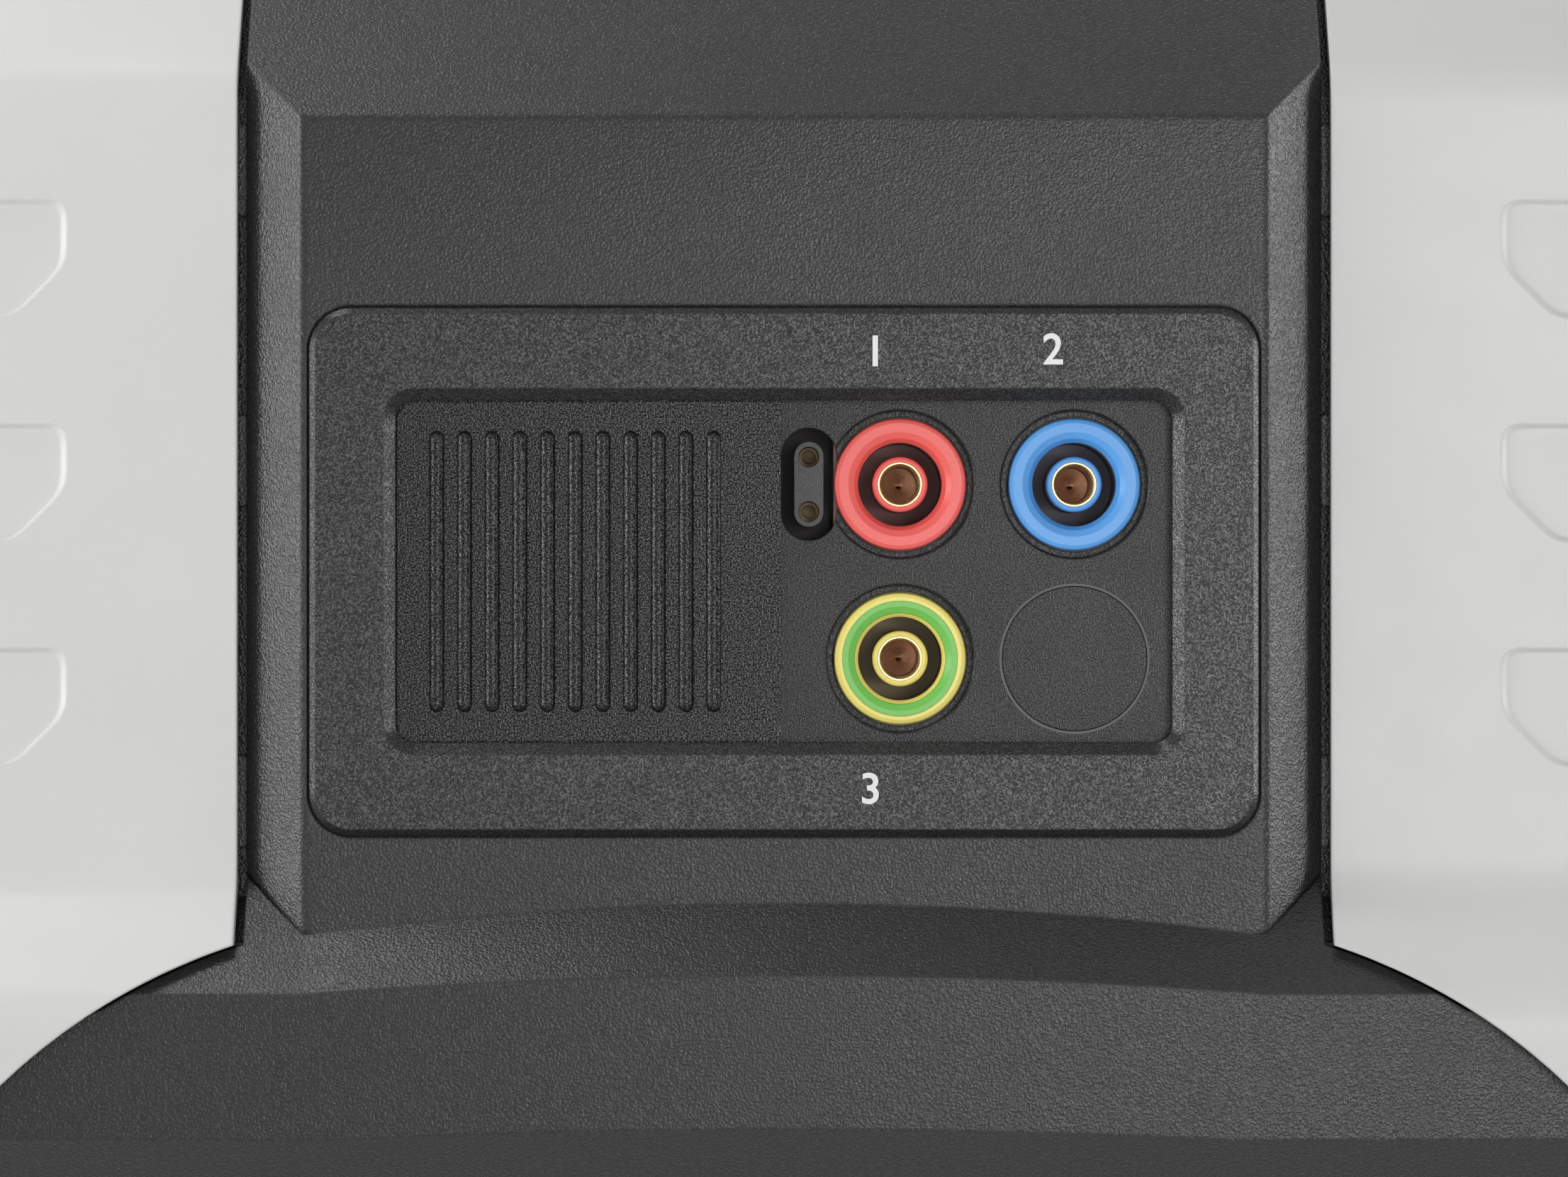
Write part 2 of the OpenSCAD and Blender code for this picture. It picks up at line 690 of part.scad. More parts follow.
module socket_carrier() color(black) at_panel() difference() {
    union() {
        translate([0, 0, carrier_back]) slab(carrier_w, carrier_h, 3, carrier_t);
        for (x = [-1, 1], y = [-1, 1]) translate([x * (carrier_w / 2 - 4), y * (carrier_h / 2 - 4), board_c])
            cylinder(carrier_back - board_c + EPS, 2.6, 2.6);
    }
    translate([-well_w / 2, -well_h / 2, floor_c]) cube([well_w, well_h, 5]);
    socket_places() {
        translate([0, 0, carrier_back + moat_floor]) cylinder(20, hole_d / 2, hole_d / 2);
        translate([0, 0, -10]) cylinder(20, collar_d / 2 + slide_gap, collar_d / 2 + slide_gap);
        translate([0, 0, floor_c - hole_edge]) cylinder(2 * hole_edge, hole_d / 2, hole_d / 2 + 2 * hole_edge);
    }
    // ring that marks the fourth, blank place
    translate([socket_x + pitch, -pitch / 2, floor_c]) rotate_extrude()
        polygon([[hole_d / 2 - 0.17, 0.02], [hole_d / 2, -0.15], [hole_d / 2 + 0.17, 0.02]]);
    translate([probe_x, pitch / 2, -10]) stadium(probe_w, probe_h, 20);
    translate([jack_x, service_z, -10]) cylinder(20, 5.2, 5.2);
    translate([data_x - 6.1, service_z - 5.6, -10]) cube([12.2, 11.2, 20]);
    translate([serial_x, service_z, -10]) cylinder(20, 5, 5);
}

module finger_rib() {
    rib_r = (rib_w * rib_w / 4 + rib_h * rib_h) / (2 * rib_h);
    rib_end = rib_len / 2 - rib_w / 2;
    difference() {
        translate([0, 0, rib_h - rib_r]) {
            rotate([90, 0, 0]) cylinder(2 * rib_end, rib_r, rib_r, center = true, $fn = 20);
            for (y = [-1, 1]) translate([0, y * rib_end, 0]) sphere(rib_r, $fn = 20);
        }
        translate([-2, -rib_len / 2 - 1, -4.2]) cube([4, rib_len + 2, 4]);
    }
}

module sliding_cover() color(coal) at_panel() {
    body_h2 = window_h - 2 * slide_gap;
    r = window_r;
    translate([0, 0, cover_bottom]) {
        translate([cover_left + r, -body_h2 / 2, 0]) cube([cover_w - r, body_h2, cover_t]);
        translate([cover_left, -body_h2 / 2 + r, 0]) cube([r + 1, body_h2 - 2 * r, cover_t]);
        for (y = [-1, 1]) translate([cover_left + r, y * (body_h2 / 2 - r), 0]) cylinder(cover_t, r, r);
        translate([cover_left, -window_h / 2 - tongue_w, 0]) cube([cover_w, window_h + 2 * tongue_w, tongue_t]);
    }
    for (k = [0:rib_n - 1]) translate([cover_left + rib_start + k * rib_pitch, 0, cover_top]) finger_rib();
}

// Safety sockets, turned about their own axis with the front of the collar at z = 0

collar_r = collar_d / 2;
throat_r = throat_d / 2;
post_r = post_d / 2;
contact_r = contact_bore / 2 + contact_wall;
flange_z = carrier_back - collar_c;
socket_back = -throat_depth - 2;
lip = 1.1;
lip_r = throat_r + 0.4 * lip;
funnel = 0.35;
green_out = 6.3;
green_in = 4.95;
green_depth = 0.9;

module socket_body() difference() {
    rotate_extrude() polygon([
        [collar_r, -0.5], [collar_r - 0.12, -0.15], [collar_r - 0.5, 0], [throat_r + lip, 0],
        [lip_r, -funnel], [throat_r, -lip], [throat_r, -throat_depth],
        [post_r, -throat_depth], [post_r, -1.35], [post_r - 0.12, -1.1], [post_r - 0.35, -1],
        [contact_r + 0.03, -1], [contact_r + 0.03, socket_back], [collar_r - 1, socket_back],
        [collar_r - 1, flange_z - 2], [hole_d / 2 + 0.7, flange_z - 2], [hole_d / 2 + 0.7, flange_z],
        [collar_r, flange_z]
    ]);
    // flat that stops the socket from turning
    translate([-BIG / 8 - collar_r - 0.05, -BIG / 16, -40]) cube([BIG / 8, BIG / 8, 50]);
}

module socket_contact() color(brass) rotate_extrude() polygon([
    [contact_bore / 2 + 0.25, -1.15], [contact_r, -1.15], [contact_r, socket_back - 0.6],
    [0.8, socket_back - 0.6], [0.8, board_c - collar_c], [0, board_c - collar_c],
    [0, socket_back + 0.4], [contact_bore / 2, socket_back + 1], [contact_bore / 2, -1.45]
]);

module at_socket(column, row) at_panel()
    translate([socket_x + column * pitch, row * pitch / 2, collar_c]) children();

module red_socket() color([0.9, 0.25, 0.28]) at_socket(0, 1) socket_body();
module blue_socket() color([0.2, 0.5, 0.9]) at_socket(1, 1) socket_body();
module earth_socket() color([0.93, 0.85, 0.35]) at_socket(0, -1) difference() {
    socket_body();
    translate([0, 0, -green_depth]) tube(green_out, green_in, 3);
}
module earth_socket_ring() color([0.3, 0.75, 0.35]) at_socket(0, -1) rotate_extrude() polygon([
    [green_in, -green_depth], [green_in, -funnel - (lip_r - green_in) * (lip - funnel) / (lip_r - throat_r)],
    [lip_r, -funnel], [throat_r + lip, 0], [green_out, 0], [green_out, -green_depth]
]);
module red_contact() at_socket(0, 1) socket_contact();
module blue_contact() at_socket(1, 1) socket_contact();
module earth_contact() at_socket(0, -1) socket_contact();

// Two-pin inlet for a probe with its own button

probe_block_w = 5.5;
pocket_drop = 2.5;

module probe_inlet() color(black) at_panel() translate([probe_x, pitch / 2, 0]) difference() {
    union() {
        translate([-3.2, -probe_h / 2 - 1, carrier_back - 7]) cube([probe_block_w, probe_h + 2, 7 - pocket_drop]);
        translate([0, 0, carrier_back - 5])
            stadium(3.2, probe_pitch + 3.35, collar_c - carrier_back + 5.1);
    }
    for (y = [-1, 1]) translate([0, y * probe_pitch / 2, -20]) cylinder(30, probe_bore / 2 + 0.02, probe_bore / 2 + 0.02);
}

module probe_contacts() color(brass) at_panel() for (y = [-1, 1])
    translate([probe_x, pitch / 2 + y * probe_pitch / 2, 0]) difference() {
        union() {
            translate([0, 0, carrier_back - 6]) cylinder(4, probe_bore / 2, probe_bore / 2);
            translate([0, 0, board_c]) cylinder(carrier_back - 6 - board_c, 0.4, 0.4);
        }
        translate([0, 0, carrier_back - 5]) cylinder(10, 0.75, 0.75);
    }

// Service sockets under the sliding cover

module charger_jack() color(coal) at_panel() translate([jack_x, service_z, 0]) {
    translate([0, 0, collar_c - 9]) tube(4.9, 3.1, 9);
    translate([-5.5, -5.5, carrier_back - 11]) cube([11, 11, 6]);
    translate([0, 0, carrier_back - 5.5]) tube(5.5, 3.1, 5.5);
    translate([0, 0, carrier_back - 6]) cylinder(6.5, 1, 1);
    translate([-2, -1, board_c]) cube([4, 2, carrier_back - 11 - board_c]);
}

module data_socket() color(steel) at_panel() translate([data_x, service_z, 0]) {
    difference() {
        translate([-6, -5.5, carrier_back - 13]) cube([12, 11, collar_c - carrier_back + 13]);
        translate([-4.3, -4.1, carrier_back - 11]) cube([8.6, 7.8, 20]);
    }
    translate([-2.9, -1.4, carrier_back - 11.5]) cube([5.8, 3.2, 12]);
    translate([-2, -1, board_c]) cube([4, 2, carrier_back - 13 - board_c]);
}

module serial_socket() color(coal) at_panel() translate([serial_x, service_z, 0]) {
    difference() {
        union() {
            translate([0, 0, carrier_back - 1]) cylinder(collar_c - carrier_back + 1, 4.8, 4.8);
            translate([-5.6, -6, carrier_back - 12]) cube([11.2, 12, 12]);
        }
        translate([0, 0, carrier_back - 6]) difference() {
            cylinder(20, 4.3, 4.3);
            translate([0, 0, -1]) cylinder(6.2, 3.2, 3.2);
        }
        for (a = [-120:60:120]) rotate([0, 0, a + 90]) translate([2.1, 0, carrier_back - 6]) cylinder(20, 0.4, 0.4);
    }
    translate([-2, -1, board_c]) cube([4, 2, carrier_back - 12 - board_c]);
}

// Board behind the sockets, with its relays and fuses

module input_board() color(board_green) at_panel() difference() {
    translate([0, 0, board_c - board_t]) slab(carrier_w - 2, carrier_h - 2, 2, board_t);
    for (x = [-1, 1], y = [-1, 1]) translate([x * (carrier_w / 2 - 4), y * (carrier_h / 2 - 4), board_c - 5])
        cylinder(10, 1.3, 1.3);
}

module input_relays() color([0.85, 0.5, 0.2]) at_panel() for (k = [0:3])
    translate([-36 + k * 13, -19, board_c - board_t - 12]) cube([10, 29, 12]);

module input_fuses() at_panel() for (k = [0:1]) translate([20 + k * 12, 0, board_c - board_t]) {
    color(steel) for (y = [-11, 11]) translate([0, y, -7]) rotate([90, 0, 0]) cylinder(6, 3.2, 3.2, center = true);
    color([0.9, 0.9, 0.85]) translate([0, 0, -7]) rotate([90, 0, 0]) cylinder(22, 2.9, 2.9, center = true);
    color(steel) for (y = [-11, 11]) translate([-1.5, y - 2, -5]) cube([3, 4, 5]);
}

// Fascia with its display

module at_soft(k) translate([lens_u + (k - 1.5) * soft_pitch, soft_v, 0]) children();
module at_row(k) translate([lens_u + (k - 1.5) * soft_pitch, row_v, 0]) children();
module at_nav(x, y) translate([knob_u + x * nav_r, nav_v + y * nav_r, 0]) children();

arrow_w = 11;
arrow_h = 8;

module key_shape(kind, extra, t) {
    if (kind == "soft") slab(soft_w + 2 * extra, soft_h + 2 * extra, 2 + extra, t);
    if (kind == "round") cylinder(t, round_d / 2 + extra, round_d / 2 + extra);
    if (kind == "test") cylinder(t, test_d / 2 + extra, test_d / 2 + extra);
    if (kind == "arrow") slab(arrow_w + 2 * extra, arrow_h + 2 * extra, 2.4 + extra, t);
}

module key_top(kind, t) {
    edge = 0.5;
    if (kind == "soft") bevelled_slab(soft_w, soft_h, 2, t, edge);
    if (kind == "arrow") bevelled_slab(arrow_w, arrow_h, 2.4, t, edge);
    if (kind == "round") {
        cylinder(t - edge, round_d / 2, round_d / 2);
        translate([0, 0, t - edge]) cylinder(edge, round_d / 2, round_d / 2 - edge);
    }
    if (kind == "test") {
        cylinder(t - edge, test_d / 2, test_d / 2);
        translate([0, 0, t - edge]) cylinder(edge, test_d / 2, test_d / 2 - edge);
    }
}

module key_holes() {
    for (k = [0:3]) at_soft(k) key_shape("soft", key_gap, 20);
    for (k = [0:2]) at_row(k) key_shape("round", key_gap, 20);
    for (x = [-1, 1]) at_nav(x, 0) key_shape("arrow", key_gap, 20);
    for (y = [-1, 1]) at_nav(0, y) key_shape("arrow", key_gap, 20);
    at_nav(0, 0) key_shape("test", key_gap, 20);
}

module fascia() color(coal) at_face() difference() {
    translate([0, 0, fascia_back]) bevelled_slab(fascia_w, fascia_h, fascia_r, fascia_t, 0.8);
    translate([0, 0, -10]) key_holes();
    translate([lens_u, lens_v, fascia_top - lens_t - 0.3]) slab(lens_w + 0.3, lens_h + 0.3, 3.15, 10);
    translate([lens_u, lens_v, -10]) slab(lens_w - 6, lens_h - 6, 1.5, 20);
    translate([knob_u, knob_v, -10]) cylinder(20, shaft_d / 2 + 0.4, shaft_d / 2 + 0.4);
}

module display_lens() color([0.2, 0.25, 0.3, 0.5]) at_face()
    translate([lens_u, lens_v, fascia_top - lens_t - 0.25]) slab(lens_w, lens_h, 3, lens_t);

module display_module() color([0.25, 0.3, 0.33]) at_face() translate([lens_u, lens_v, 0]) {
    translate([-(lens_w - 8) / 2, -(lens_h - 8) / 2, keyboard_top]) cube([lens_w - 8, lens_h - 8, -keyboard_top - 0.2]);
}

// Key caps: each has a flange behind the fascia

module key(kind) color(kind == "test" ? [0.85, 0.45, 0.15] : key_grey) {
    top = fascia_top + key_proud;
    foot = fascia_back - 0.15 - flange_t;
    translate([0, 0, foot + flange_t - EPS]) key_top(kind, top - foot - flange_t + EPS);
    translate([0, 0, foot]) key_shape(kind, flange_out, flange_t);
}

module soft_key_1() at_face() at_soft(0) key("soft");
module soft_key_2() at_face() at_soft(1) key("soft");
module soft_key_3() at_face() at_soft(2) key("soft");
module soft_key_4() at_face() at_soft(3) key("soft");
module power_key() at_face() at_row(0) key("round");
module menu_key() at_face() at_row(1) key("round");
module memory_key() at_face() at_row(2) key("round");
module up_key() at_face() at_nav(0, 1) key("arrow");
module down_key() at_face() at_nav(0, -1) key("arrow");
module left_key() at_face() at_nav(-1, 0) key("arrow");
module right_key() at_face() at_nav(1, 0) key("arrow");
module test_key() at_face() at_nav(0, 0) key("test");

module key_mat() color([0.3, 0.3, 0.32]) at_face() translate([0, 0, keyboard_top]) {
    translate([lens_u - 52, row_v - 8, 0]) cube([104, soft_v - row_v + 14, mat_t]);
    translate([knob_u - 27, nav_v - 23, 0]) cube([54, 46, mat_t]);
}

// Rotary selector

module selector_knob() color(coal) at_face() translate([knob_u, knob_v, knob_c]) difference() {
    union() {
        cylinder(3, knob_d / 2, knob_d / 2);
        translate([0, 0, 3]) cylinder(1.5, knob_d / 2, knob_d / 2 - 1.5);
        translate([0, 0, 4]) cylinder(knob_h - 7, knob_d / 2 - 6, knob_d / 2 - 7.5);
        intersection() {
            translate([0, 0, 4]) slab(11, knob_d - 4, 4, knob_h - 4);
            cylinder(knob_h, knob_d / 2 - 1, knob_d / 2 - 2.5);
        }
    }
    translate([0, 0, -1]) cylinder(knob_h - 3, shaft_d / 2 + 0.03, shaft_d / 2 + 0.03);
    translate([-0.8, knob_d / 2 - 14, knob_h - 0.6]) cube([1.6, 11, 3]);
    for (a = [0:15:359]) rotate([0, 0, a]) translate([knob_d / 2 + 0.5, 0, -1]) cylinder(6, 1.1, 1.1, $fn = 24);
}

module selector_shaft() color(steel) at_face() translate([knob_u, knob_v, keyboard_top + 0.3])
    cylinder(knob_c + knob_h - 4.6 - keyboard_top, shaft_d / 2, shaft_d / 2);

module selector_switch() color([0.2, 0.3, 0.5]) at_face() translate([knob_u, knob_v, keyboard_top]) difference() {
    union() {
        translate([-8, -8, 0]) cube([16, 16, switch_h - 1]);
        cylinder(switch_h + 0.4, 5, 5);
    }
    translate([0, 0, -1]) cylinder(10, shaft_d / 2 + 0.05, shaft_d / 2 + 0.05);
}

// Boards behind the control face

module key_board() color(board_green) at_face() translate([0, 0, keyboard_top - board_t])
    slab(opening_w + 6, opening_h - 2, 3, board_t);

spacer_u = 62;
spacer_v = 38;

module board_spacers() color(brass) at_face() for (u = [-1, 1], v = [-1, 1])
    translate([u * spacer_u, v * spacer_v, mainboard_top]) cylinder(spacer_l, 3, 3, $fn = 6);

module main_board() color(board_green) at_face() translate([0, 0, mainboard_top - board_t])
    slab(2 * spacer_u + 12, 2 * spacer_v + 12, 3, board_t);

module transformer() at_face() translate([-34, -18, mainboard_top - board_t]) {
    color([0.35, 0.3, 0.28]) translate([-15, -12, -13]) cube([30, 24, 13]);
    color([0.8, 0.75, 0.3]) translate([-10, -15, -11]) cube([20, 30, 11]);
}

module board_chips() color(rubber) at_face() for (q = [[10, 20, 22, 22], [40, 18, 14, 10], [-20, 24, 18, 12], [38, -16, 16, 16]])
    translate([q[0] - q[2] / 2, q[1] - q[3] / 2, mainboard_top - board_t - 2]) cube([q[2], q[3], 2]);

module buzzer() color(rubber) at_face() translate([12, -20, mainboard_top - board_t - 9]) tube_closed(7, 1.4, 9);

module tube_closed(r, hole_r, h) difference() {
    cylinder(h, r, r);
    translate([0, 0, -1]) cylinder(3, hole_r, hole_r);
}

// Batteries under the door

module battery_tray() color(coal) difference() {
    union() {
        translate([-door_x + 1, bay_y - bay_half - 2.5, tray_base])
            cube([2 * door_x - 2, 2 * bay_half + 5, 1.5]);
        translate([-bay_x - 1.4, bay_y - bay_half - 1.2, tray_base])
            cube([2 * bay_x + 2.8, 2 * bay_half + 2.4, cell_d + 3.2]);
    }
    translate([-bay_x, bay_y - bay_half, tray_base - 1]) cube([2 * bay_x, 2 * bay_half, cell_d + 3]);
}

module battery_cells() color([0.2, 0.35, 0.6]) for (k = [-1:1], r = [-1, 1])
    translate([k * cell_l, bay_y + r * row_gap / 2, cell_z]) rotate([0, 90, 0]) {
        translate([0, 0, -cell_l / 2 + 0.4]) cylinder(cell_l - 1.8, cell_d / 2, cell_d / 2);
        translate([0, 0, cell_l / 2 - 1.5]) cylinder(1.2, 2.7, 2.7);
    }

module battery_contacts() color(steel) for (x = [-1, 1], r = [-1, 1])
    translate([x * (bay_x - 0.7), bay_y + r * row_gap / 2, cell_z]) {
        translate([-0.35, -5.5, -6]) cube([0.7, 11, 12]);
        translate([x * -0.9, 0, 0]) rotate([0, 90, 0]) cylinder(1.6, 3.2, 3.2, center = true);
    }

module battery_door() color(black) difference() {
    translate([-door_x, door_y0, z_low]) cube([2 * door_x, door_y1 - door_y0, shell_wall - 0.1]);
    for (k = [-3:3]) translate([k * 6 - 1, door_y0 + 6, z_low - 1]) cube([2, 14, 1.6]);
    for (x = [-1, 1]) translate([x * door_screw_x, door_screw_y, 0]) {
        cylinder(20, screw_d / 2 + 0.2, screw_d / 2 + 0.2);
        cylinder(z_low + 1.2, screw_d + 0.2, screw_d + 0.2);
    }
}

// Screws: a pan head with a cross, the head's underside at z = 0 and the shank below it

module screw(length, head_r, head_h) color(steel) difference() {
    union() {
        translate([0, 0, -length]) cylinder(length, screw_d / 2 - 0.02, screw_d / 2 - 0.02);
        cylinder(head_h - 0.4, head_r, head_r);
        translate([0, 0, head_h - 0.4]) cylinder(0.4, head_r, head_r - 0.4);
    }
    for (a = [0, 90]) rotate([0, 0, a]) translate([-head_r * 0.6, -0.4, head_h - 1]) cube([head_r * 1.2, 0.8, 2]);
}

module door_screws() for (x = [-1, 1]) translate([x * door_screw_x, door_screw_y, z_low + 1.2]) rotate([180, 0, 0])
    screw(9, screw_d, 1.1);

module housing_screws() both_sides() for (z = boss_z) translate([boss_x, boss_head_y, z]) rotate([90, 0, 0])
    screw(y_mid - boss_head_y + 10, screw_d, 2.2);

module grip_screws() both_sides() for (z = grip_screw_z) translate([core_x + 5, grip_screw_y, z]) rotate([0, 90, 0])
    screw(13, screw_d, 2.2);

rear_housing();
front_housing();
left_grip();
right_grip();
terminal_plate();
socket_carrier();
sliding_cover();
red_socket();
blue_socket();
earth_socket();
earth_socket_ring();
red_contact();
blue_contact();
earth_contact();
probe_inlet();
probe_contacts();
charger_jack();
data_socket();
serial_socket();
input_board();
input_relays();
input_fuses();
fascia();
display_lens();
display_module();
selector_knob();
selector_shaft();
selector_switch();
soft_key_1();
soft_key_2();
soft_key_3();
soft_key_4();
power_key();
menu_key();
memory_key();
up_key();
down_key();
left_key();
right_key();
test_key();
key_mat();
key_board();
main_board();
board_spacers();
transformer();
board_chips();
buzzer();
battery_tray();
battery_cells();
battery_contacts();
battery_door();
door_screws();
housing_screws();
grip_screws();
feet();
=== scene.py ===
# %% [markdown]
# # An electrical installation tester, seen from its sockets
# The object is a measuring instrument that an electrician wears on a neck strap or stands on a bench. A black housing
# sits between two pale grips. One side carries the test sockets behind a sliding cover, and the other side slopes
# back and carries the display, the selector and the keys. The solids were made in a CAD program, so this lesson is
# about finishes, small printed details, lamps and the camera.

# %% Load the solids
import math

import bpy
from mathutils import Matrix, Vector


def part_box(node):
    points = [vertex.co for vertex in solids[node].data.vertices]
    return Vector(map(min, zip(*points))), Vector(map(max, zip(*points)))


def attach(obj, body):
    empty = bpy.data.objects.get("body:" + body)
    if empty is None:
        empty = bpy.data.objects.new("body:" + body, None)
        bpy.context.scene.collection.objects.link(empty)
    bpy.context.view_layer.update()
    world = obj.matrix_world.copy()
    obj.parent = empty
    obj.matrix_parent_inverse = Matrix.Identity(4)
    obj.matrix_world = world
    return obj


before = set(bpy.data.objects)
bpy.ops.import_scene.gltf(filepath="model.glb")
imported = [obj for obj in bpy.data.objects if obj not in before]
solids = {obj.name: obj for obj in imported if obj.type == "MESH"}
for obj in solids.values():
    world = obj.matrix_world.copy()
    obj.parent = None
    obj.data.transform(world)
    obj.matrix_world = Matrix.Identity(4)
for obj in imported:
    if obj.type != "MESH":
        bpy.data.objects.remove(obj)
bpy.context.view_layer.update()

# %% [markdown]
# ## Two work planes
# Almost everything lies on one of two planes: the flat of the terminal column, which faces the viewer, and the
# control face, which leans back by 19.5 degrees. Each mark could be placed by its x, y and z and turned by hand. A
# matrix for each plane is easier: later cells say where a thing is on the panel, as a draughtsman would, and the
# matrix turns it.

# %% Work planes
MM = 0.001
LEAN = math.radians(19.5)
FACE_MID = Vector((0, 32.735, 88.775)) * MM
plate_low, plate_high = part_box("terminal_plate")
PLATE_MID = Vector(((plate_low.x + plate_high.x) / 2, plate_low.y, (plate_low.z + plate_high.z) / 2))


def plane(origin, across, up, out):
    """The matrix that carries flat work to a panel; up and out are seen from in front of the panel."""
    return Matrix.Translation(origin) @ Matrix((across, up, out)).transposed().to_4x4()


PLATE = plane(PLATE_MID, Vector((1, 0, 0)), Vector((0, 0, 1)), Vector((0, -1, 0)))
face_up = Vector((0, -math.sin(LEAN), math.cos(LEAN)))
face_out = Vector((0, math.cos(LEAN), math.sin(LEAN)))
FACE = plane(FACE_MID, Vector((-1, 0, 0)), face_up, face_out)
print("plate middle, mm:", [round(v / MM, 2) for v in PLATE_MID])

# %% [markdown]
# ## The camera
# The photograph was taken squarely from about 0.9 m with a long lens, and it crops the object on all four sides. The
# lens could be found by trial, but similar triangles give it at once: the frame is 170 mm wide at the column's flat,
# so the focal length is the sensor's width times the distance, divided by the width that is seen.

# %% Camera
SEEN_WIDTH = 170.15 * MM
STAND_OFF = 0.9
EYE_HEIGHT = 71.5 * MM
SENSOR = 36
camera_data = bpy.data.cameras.new("product_camera")
camera_data.sensor_width = SENSOR
camera_data.lens = SENSOR * STAND_OFF / SEEN_WIDTH
camera = bpy.data.objects.new("product_camera", camera_data)
camera.location = (0, PLATE_MID.y - STAND_OFF, EYE_HEIGHT)
camera.rotation_euler = (math.radians(90), 0, 0)
bpy.context.scene.collection.objects.link(camera)
bpy.context.scene.camera = camera
bpy.context.scene.view_settings.view_transform = "Standard"
print("lens, mm:", round(camera_data.lens, 1))

# %% [markdown]
# ## Soft shading
# The grips are lofted shells, and their rounded ends are made of narrow flat facets, which a moulded shell hasn't.
# More facets would make the solid heavier. A modifier is lighter and leaves the solid as it is: it joins the split
# corners and shades every edge softly that bends by less than 28 degrees, so only the normals that the light sees are
# changed.

# %% Node helper
def node(tree, kind, **values):
    """Adds a node and sets its sockets or its own settings by name."""
    made = tree.nodes.new(kind)
    for key, value in values.items():
        if key in made.inputs:
            made.inputs[key].default_value = value
        else:
            setattr(made, key, value)
    return made


# %% Soft shading
SOFT_BEND = math.radians(28)
SPLIT_CORNER = 0.002 * MM


def soft_shading():
    tree = bpy.data.node_groups.new("soft_shading", "GeometryNodeTree")
    tree.is_modifier = True
    for way in ("INPUT", "OUTPUT"):
        tree.interface.new_socket("Geometry", in_out=way, socket_type="NodeSocketGeometry")
    start, end = node(tree, "NodeGroupInput"), node(tree, "NodeGroupOutput")
    joined = node(tree, "GeometryNodeMergeByDistance", Distance=SPLIT_CORNER)
    bend = node(tree, "GeometryNodeInputMeshEdgeAngle")
    sharp = node(tree, "FunctionNodeCompare", operation="GREATER_THAN")
    sharp.inputs[1].default_value = SOFT_BEND
    normals = node(tree, "GeometryNodeSetMeshNormal", mode="SHARPNESS")
    normals.inputs["Remove Custom"].default_value = True
    tree.links.new(start.outputs[0], joined.inputs["Geometry"])
    tree.links.new(bend.outputs["Unsigned Angle"], sharp.inputs[0])
    tree.links.new(joined.outputs["Geometry"], normals.inputs["Mesh"])
    tree.links.new(sharp.outputs["Result"], normals.inputs["Edge Sharpness"])
    tree.links.new(normals.outputs["Mesh"], end.inputs[0])
    return tree


shells = ("left_grip", "right_grip", "rear_housing", "front_housing")
softly = soft_shading()
for name in shells:
    solids[name].modifiers.new("soft_shading", "NODES").node_group = softly
print("softly shaded:", *shells)

# %% [markdown]
# ## Moulded plastic
# Housings like this are injection moulded, and the mould is spark-eroded, which leaves a fine grain with pits of
# about a quarter of a millimetre. Painting the grain as colour alone would look flat, so one noise pattern tips the
# surface normal and also picks out the peaks, which are paler and glossier where they were rubbed. A slower noise
# varies the roughness, as handling and flow lines do. A bevel node lets edges catch the light as moulded ones do,
# without changing a solid. The plate, the cover and the floor under the sockets have a finer grain with more sparkle
# than the housing.

# %% A bare finish and its patterns
def bare_finish(name):
    made = bpy.data.materials.new(name)
    made.use_nodes = True
    tree = made.node_tree
    return made, tree, tree.nodes["Principled BSDF"]


def on_object(tree):
    """Where a point lies on the object, so that a pattern stays fixed to its piece."""
    return node(tree, "ShaderNodeTexCoord").outputs["Object"]


def noise(tree, size, detail=2.0):
    """A noise with features about size metres across."""
    made = node(tree, "ShaderNodeTexNoise", Scale=1 / size, Detail=detail)
    tree.links.new(on_object(tree), made.inputs["Vector"])
    return made.outputs["Fac"]


def ranged(tree, source, low, high, start=0.3, end=0.7):
    """Carries what lies between start and end to low and high."""
    made = node(tree, "ShaderNodeMapRange")
    for key, value in (("From Min", start), ("From Max", end), ("To Min", low), ("To Max", high)):
        made.inputs[key].default_value = value
    tree.links.new(source, made.inputs["Value"])
    return made.outputs["Result"]


# %% Colour helpers
def shade(colour, factor):
    return tuple(min(1.0, c * factor) for c in colour) + (1.0,)


def ramped(tree, source, *stops):
    """A colour ramp with stops of (position, colour)."""
    made = node(tree, "ShaderNodeValToRGB")
    band = made.color_ramp
    while len(band.elements) < len(stops):
        band.elements.new(0.5)
    for element, (position, colour) in zip(band.elements, stops):
        element.position, element.color = position, colour
    tree.links.new(source, made.inputs["Fac"])
    return made.outputs["Color"]


def mottled(tree, surface, colour, spread, size=22 * MM):
    """A base colour that wanders by spread, as a share of it, over patches of the given size."""
    stops = (0.32, shade(colour, 1 - spread)), (0.68, shade(colour, 1 + spread))
    tree.links.new(ramped(tree, noise(tree, size, 4.0), *stops), surface.inputs["Base Color"])


# %% Grain
CORNER_SAMPLES = 4


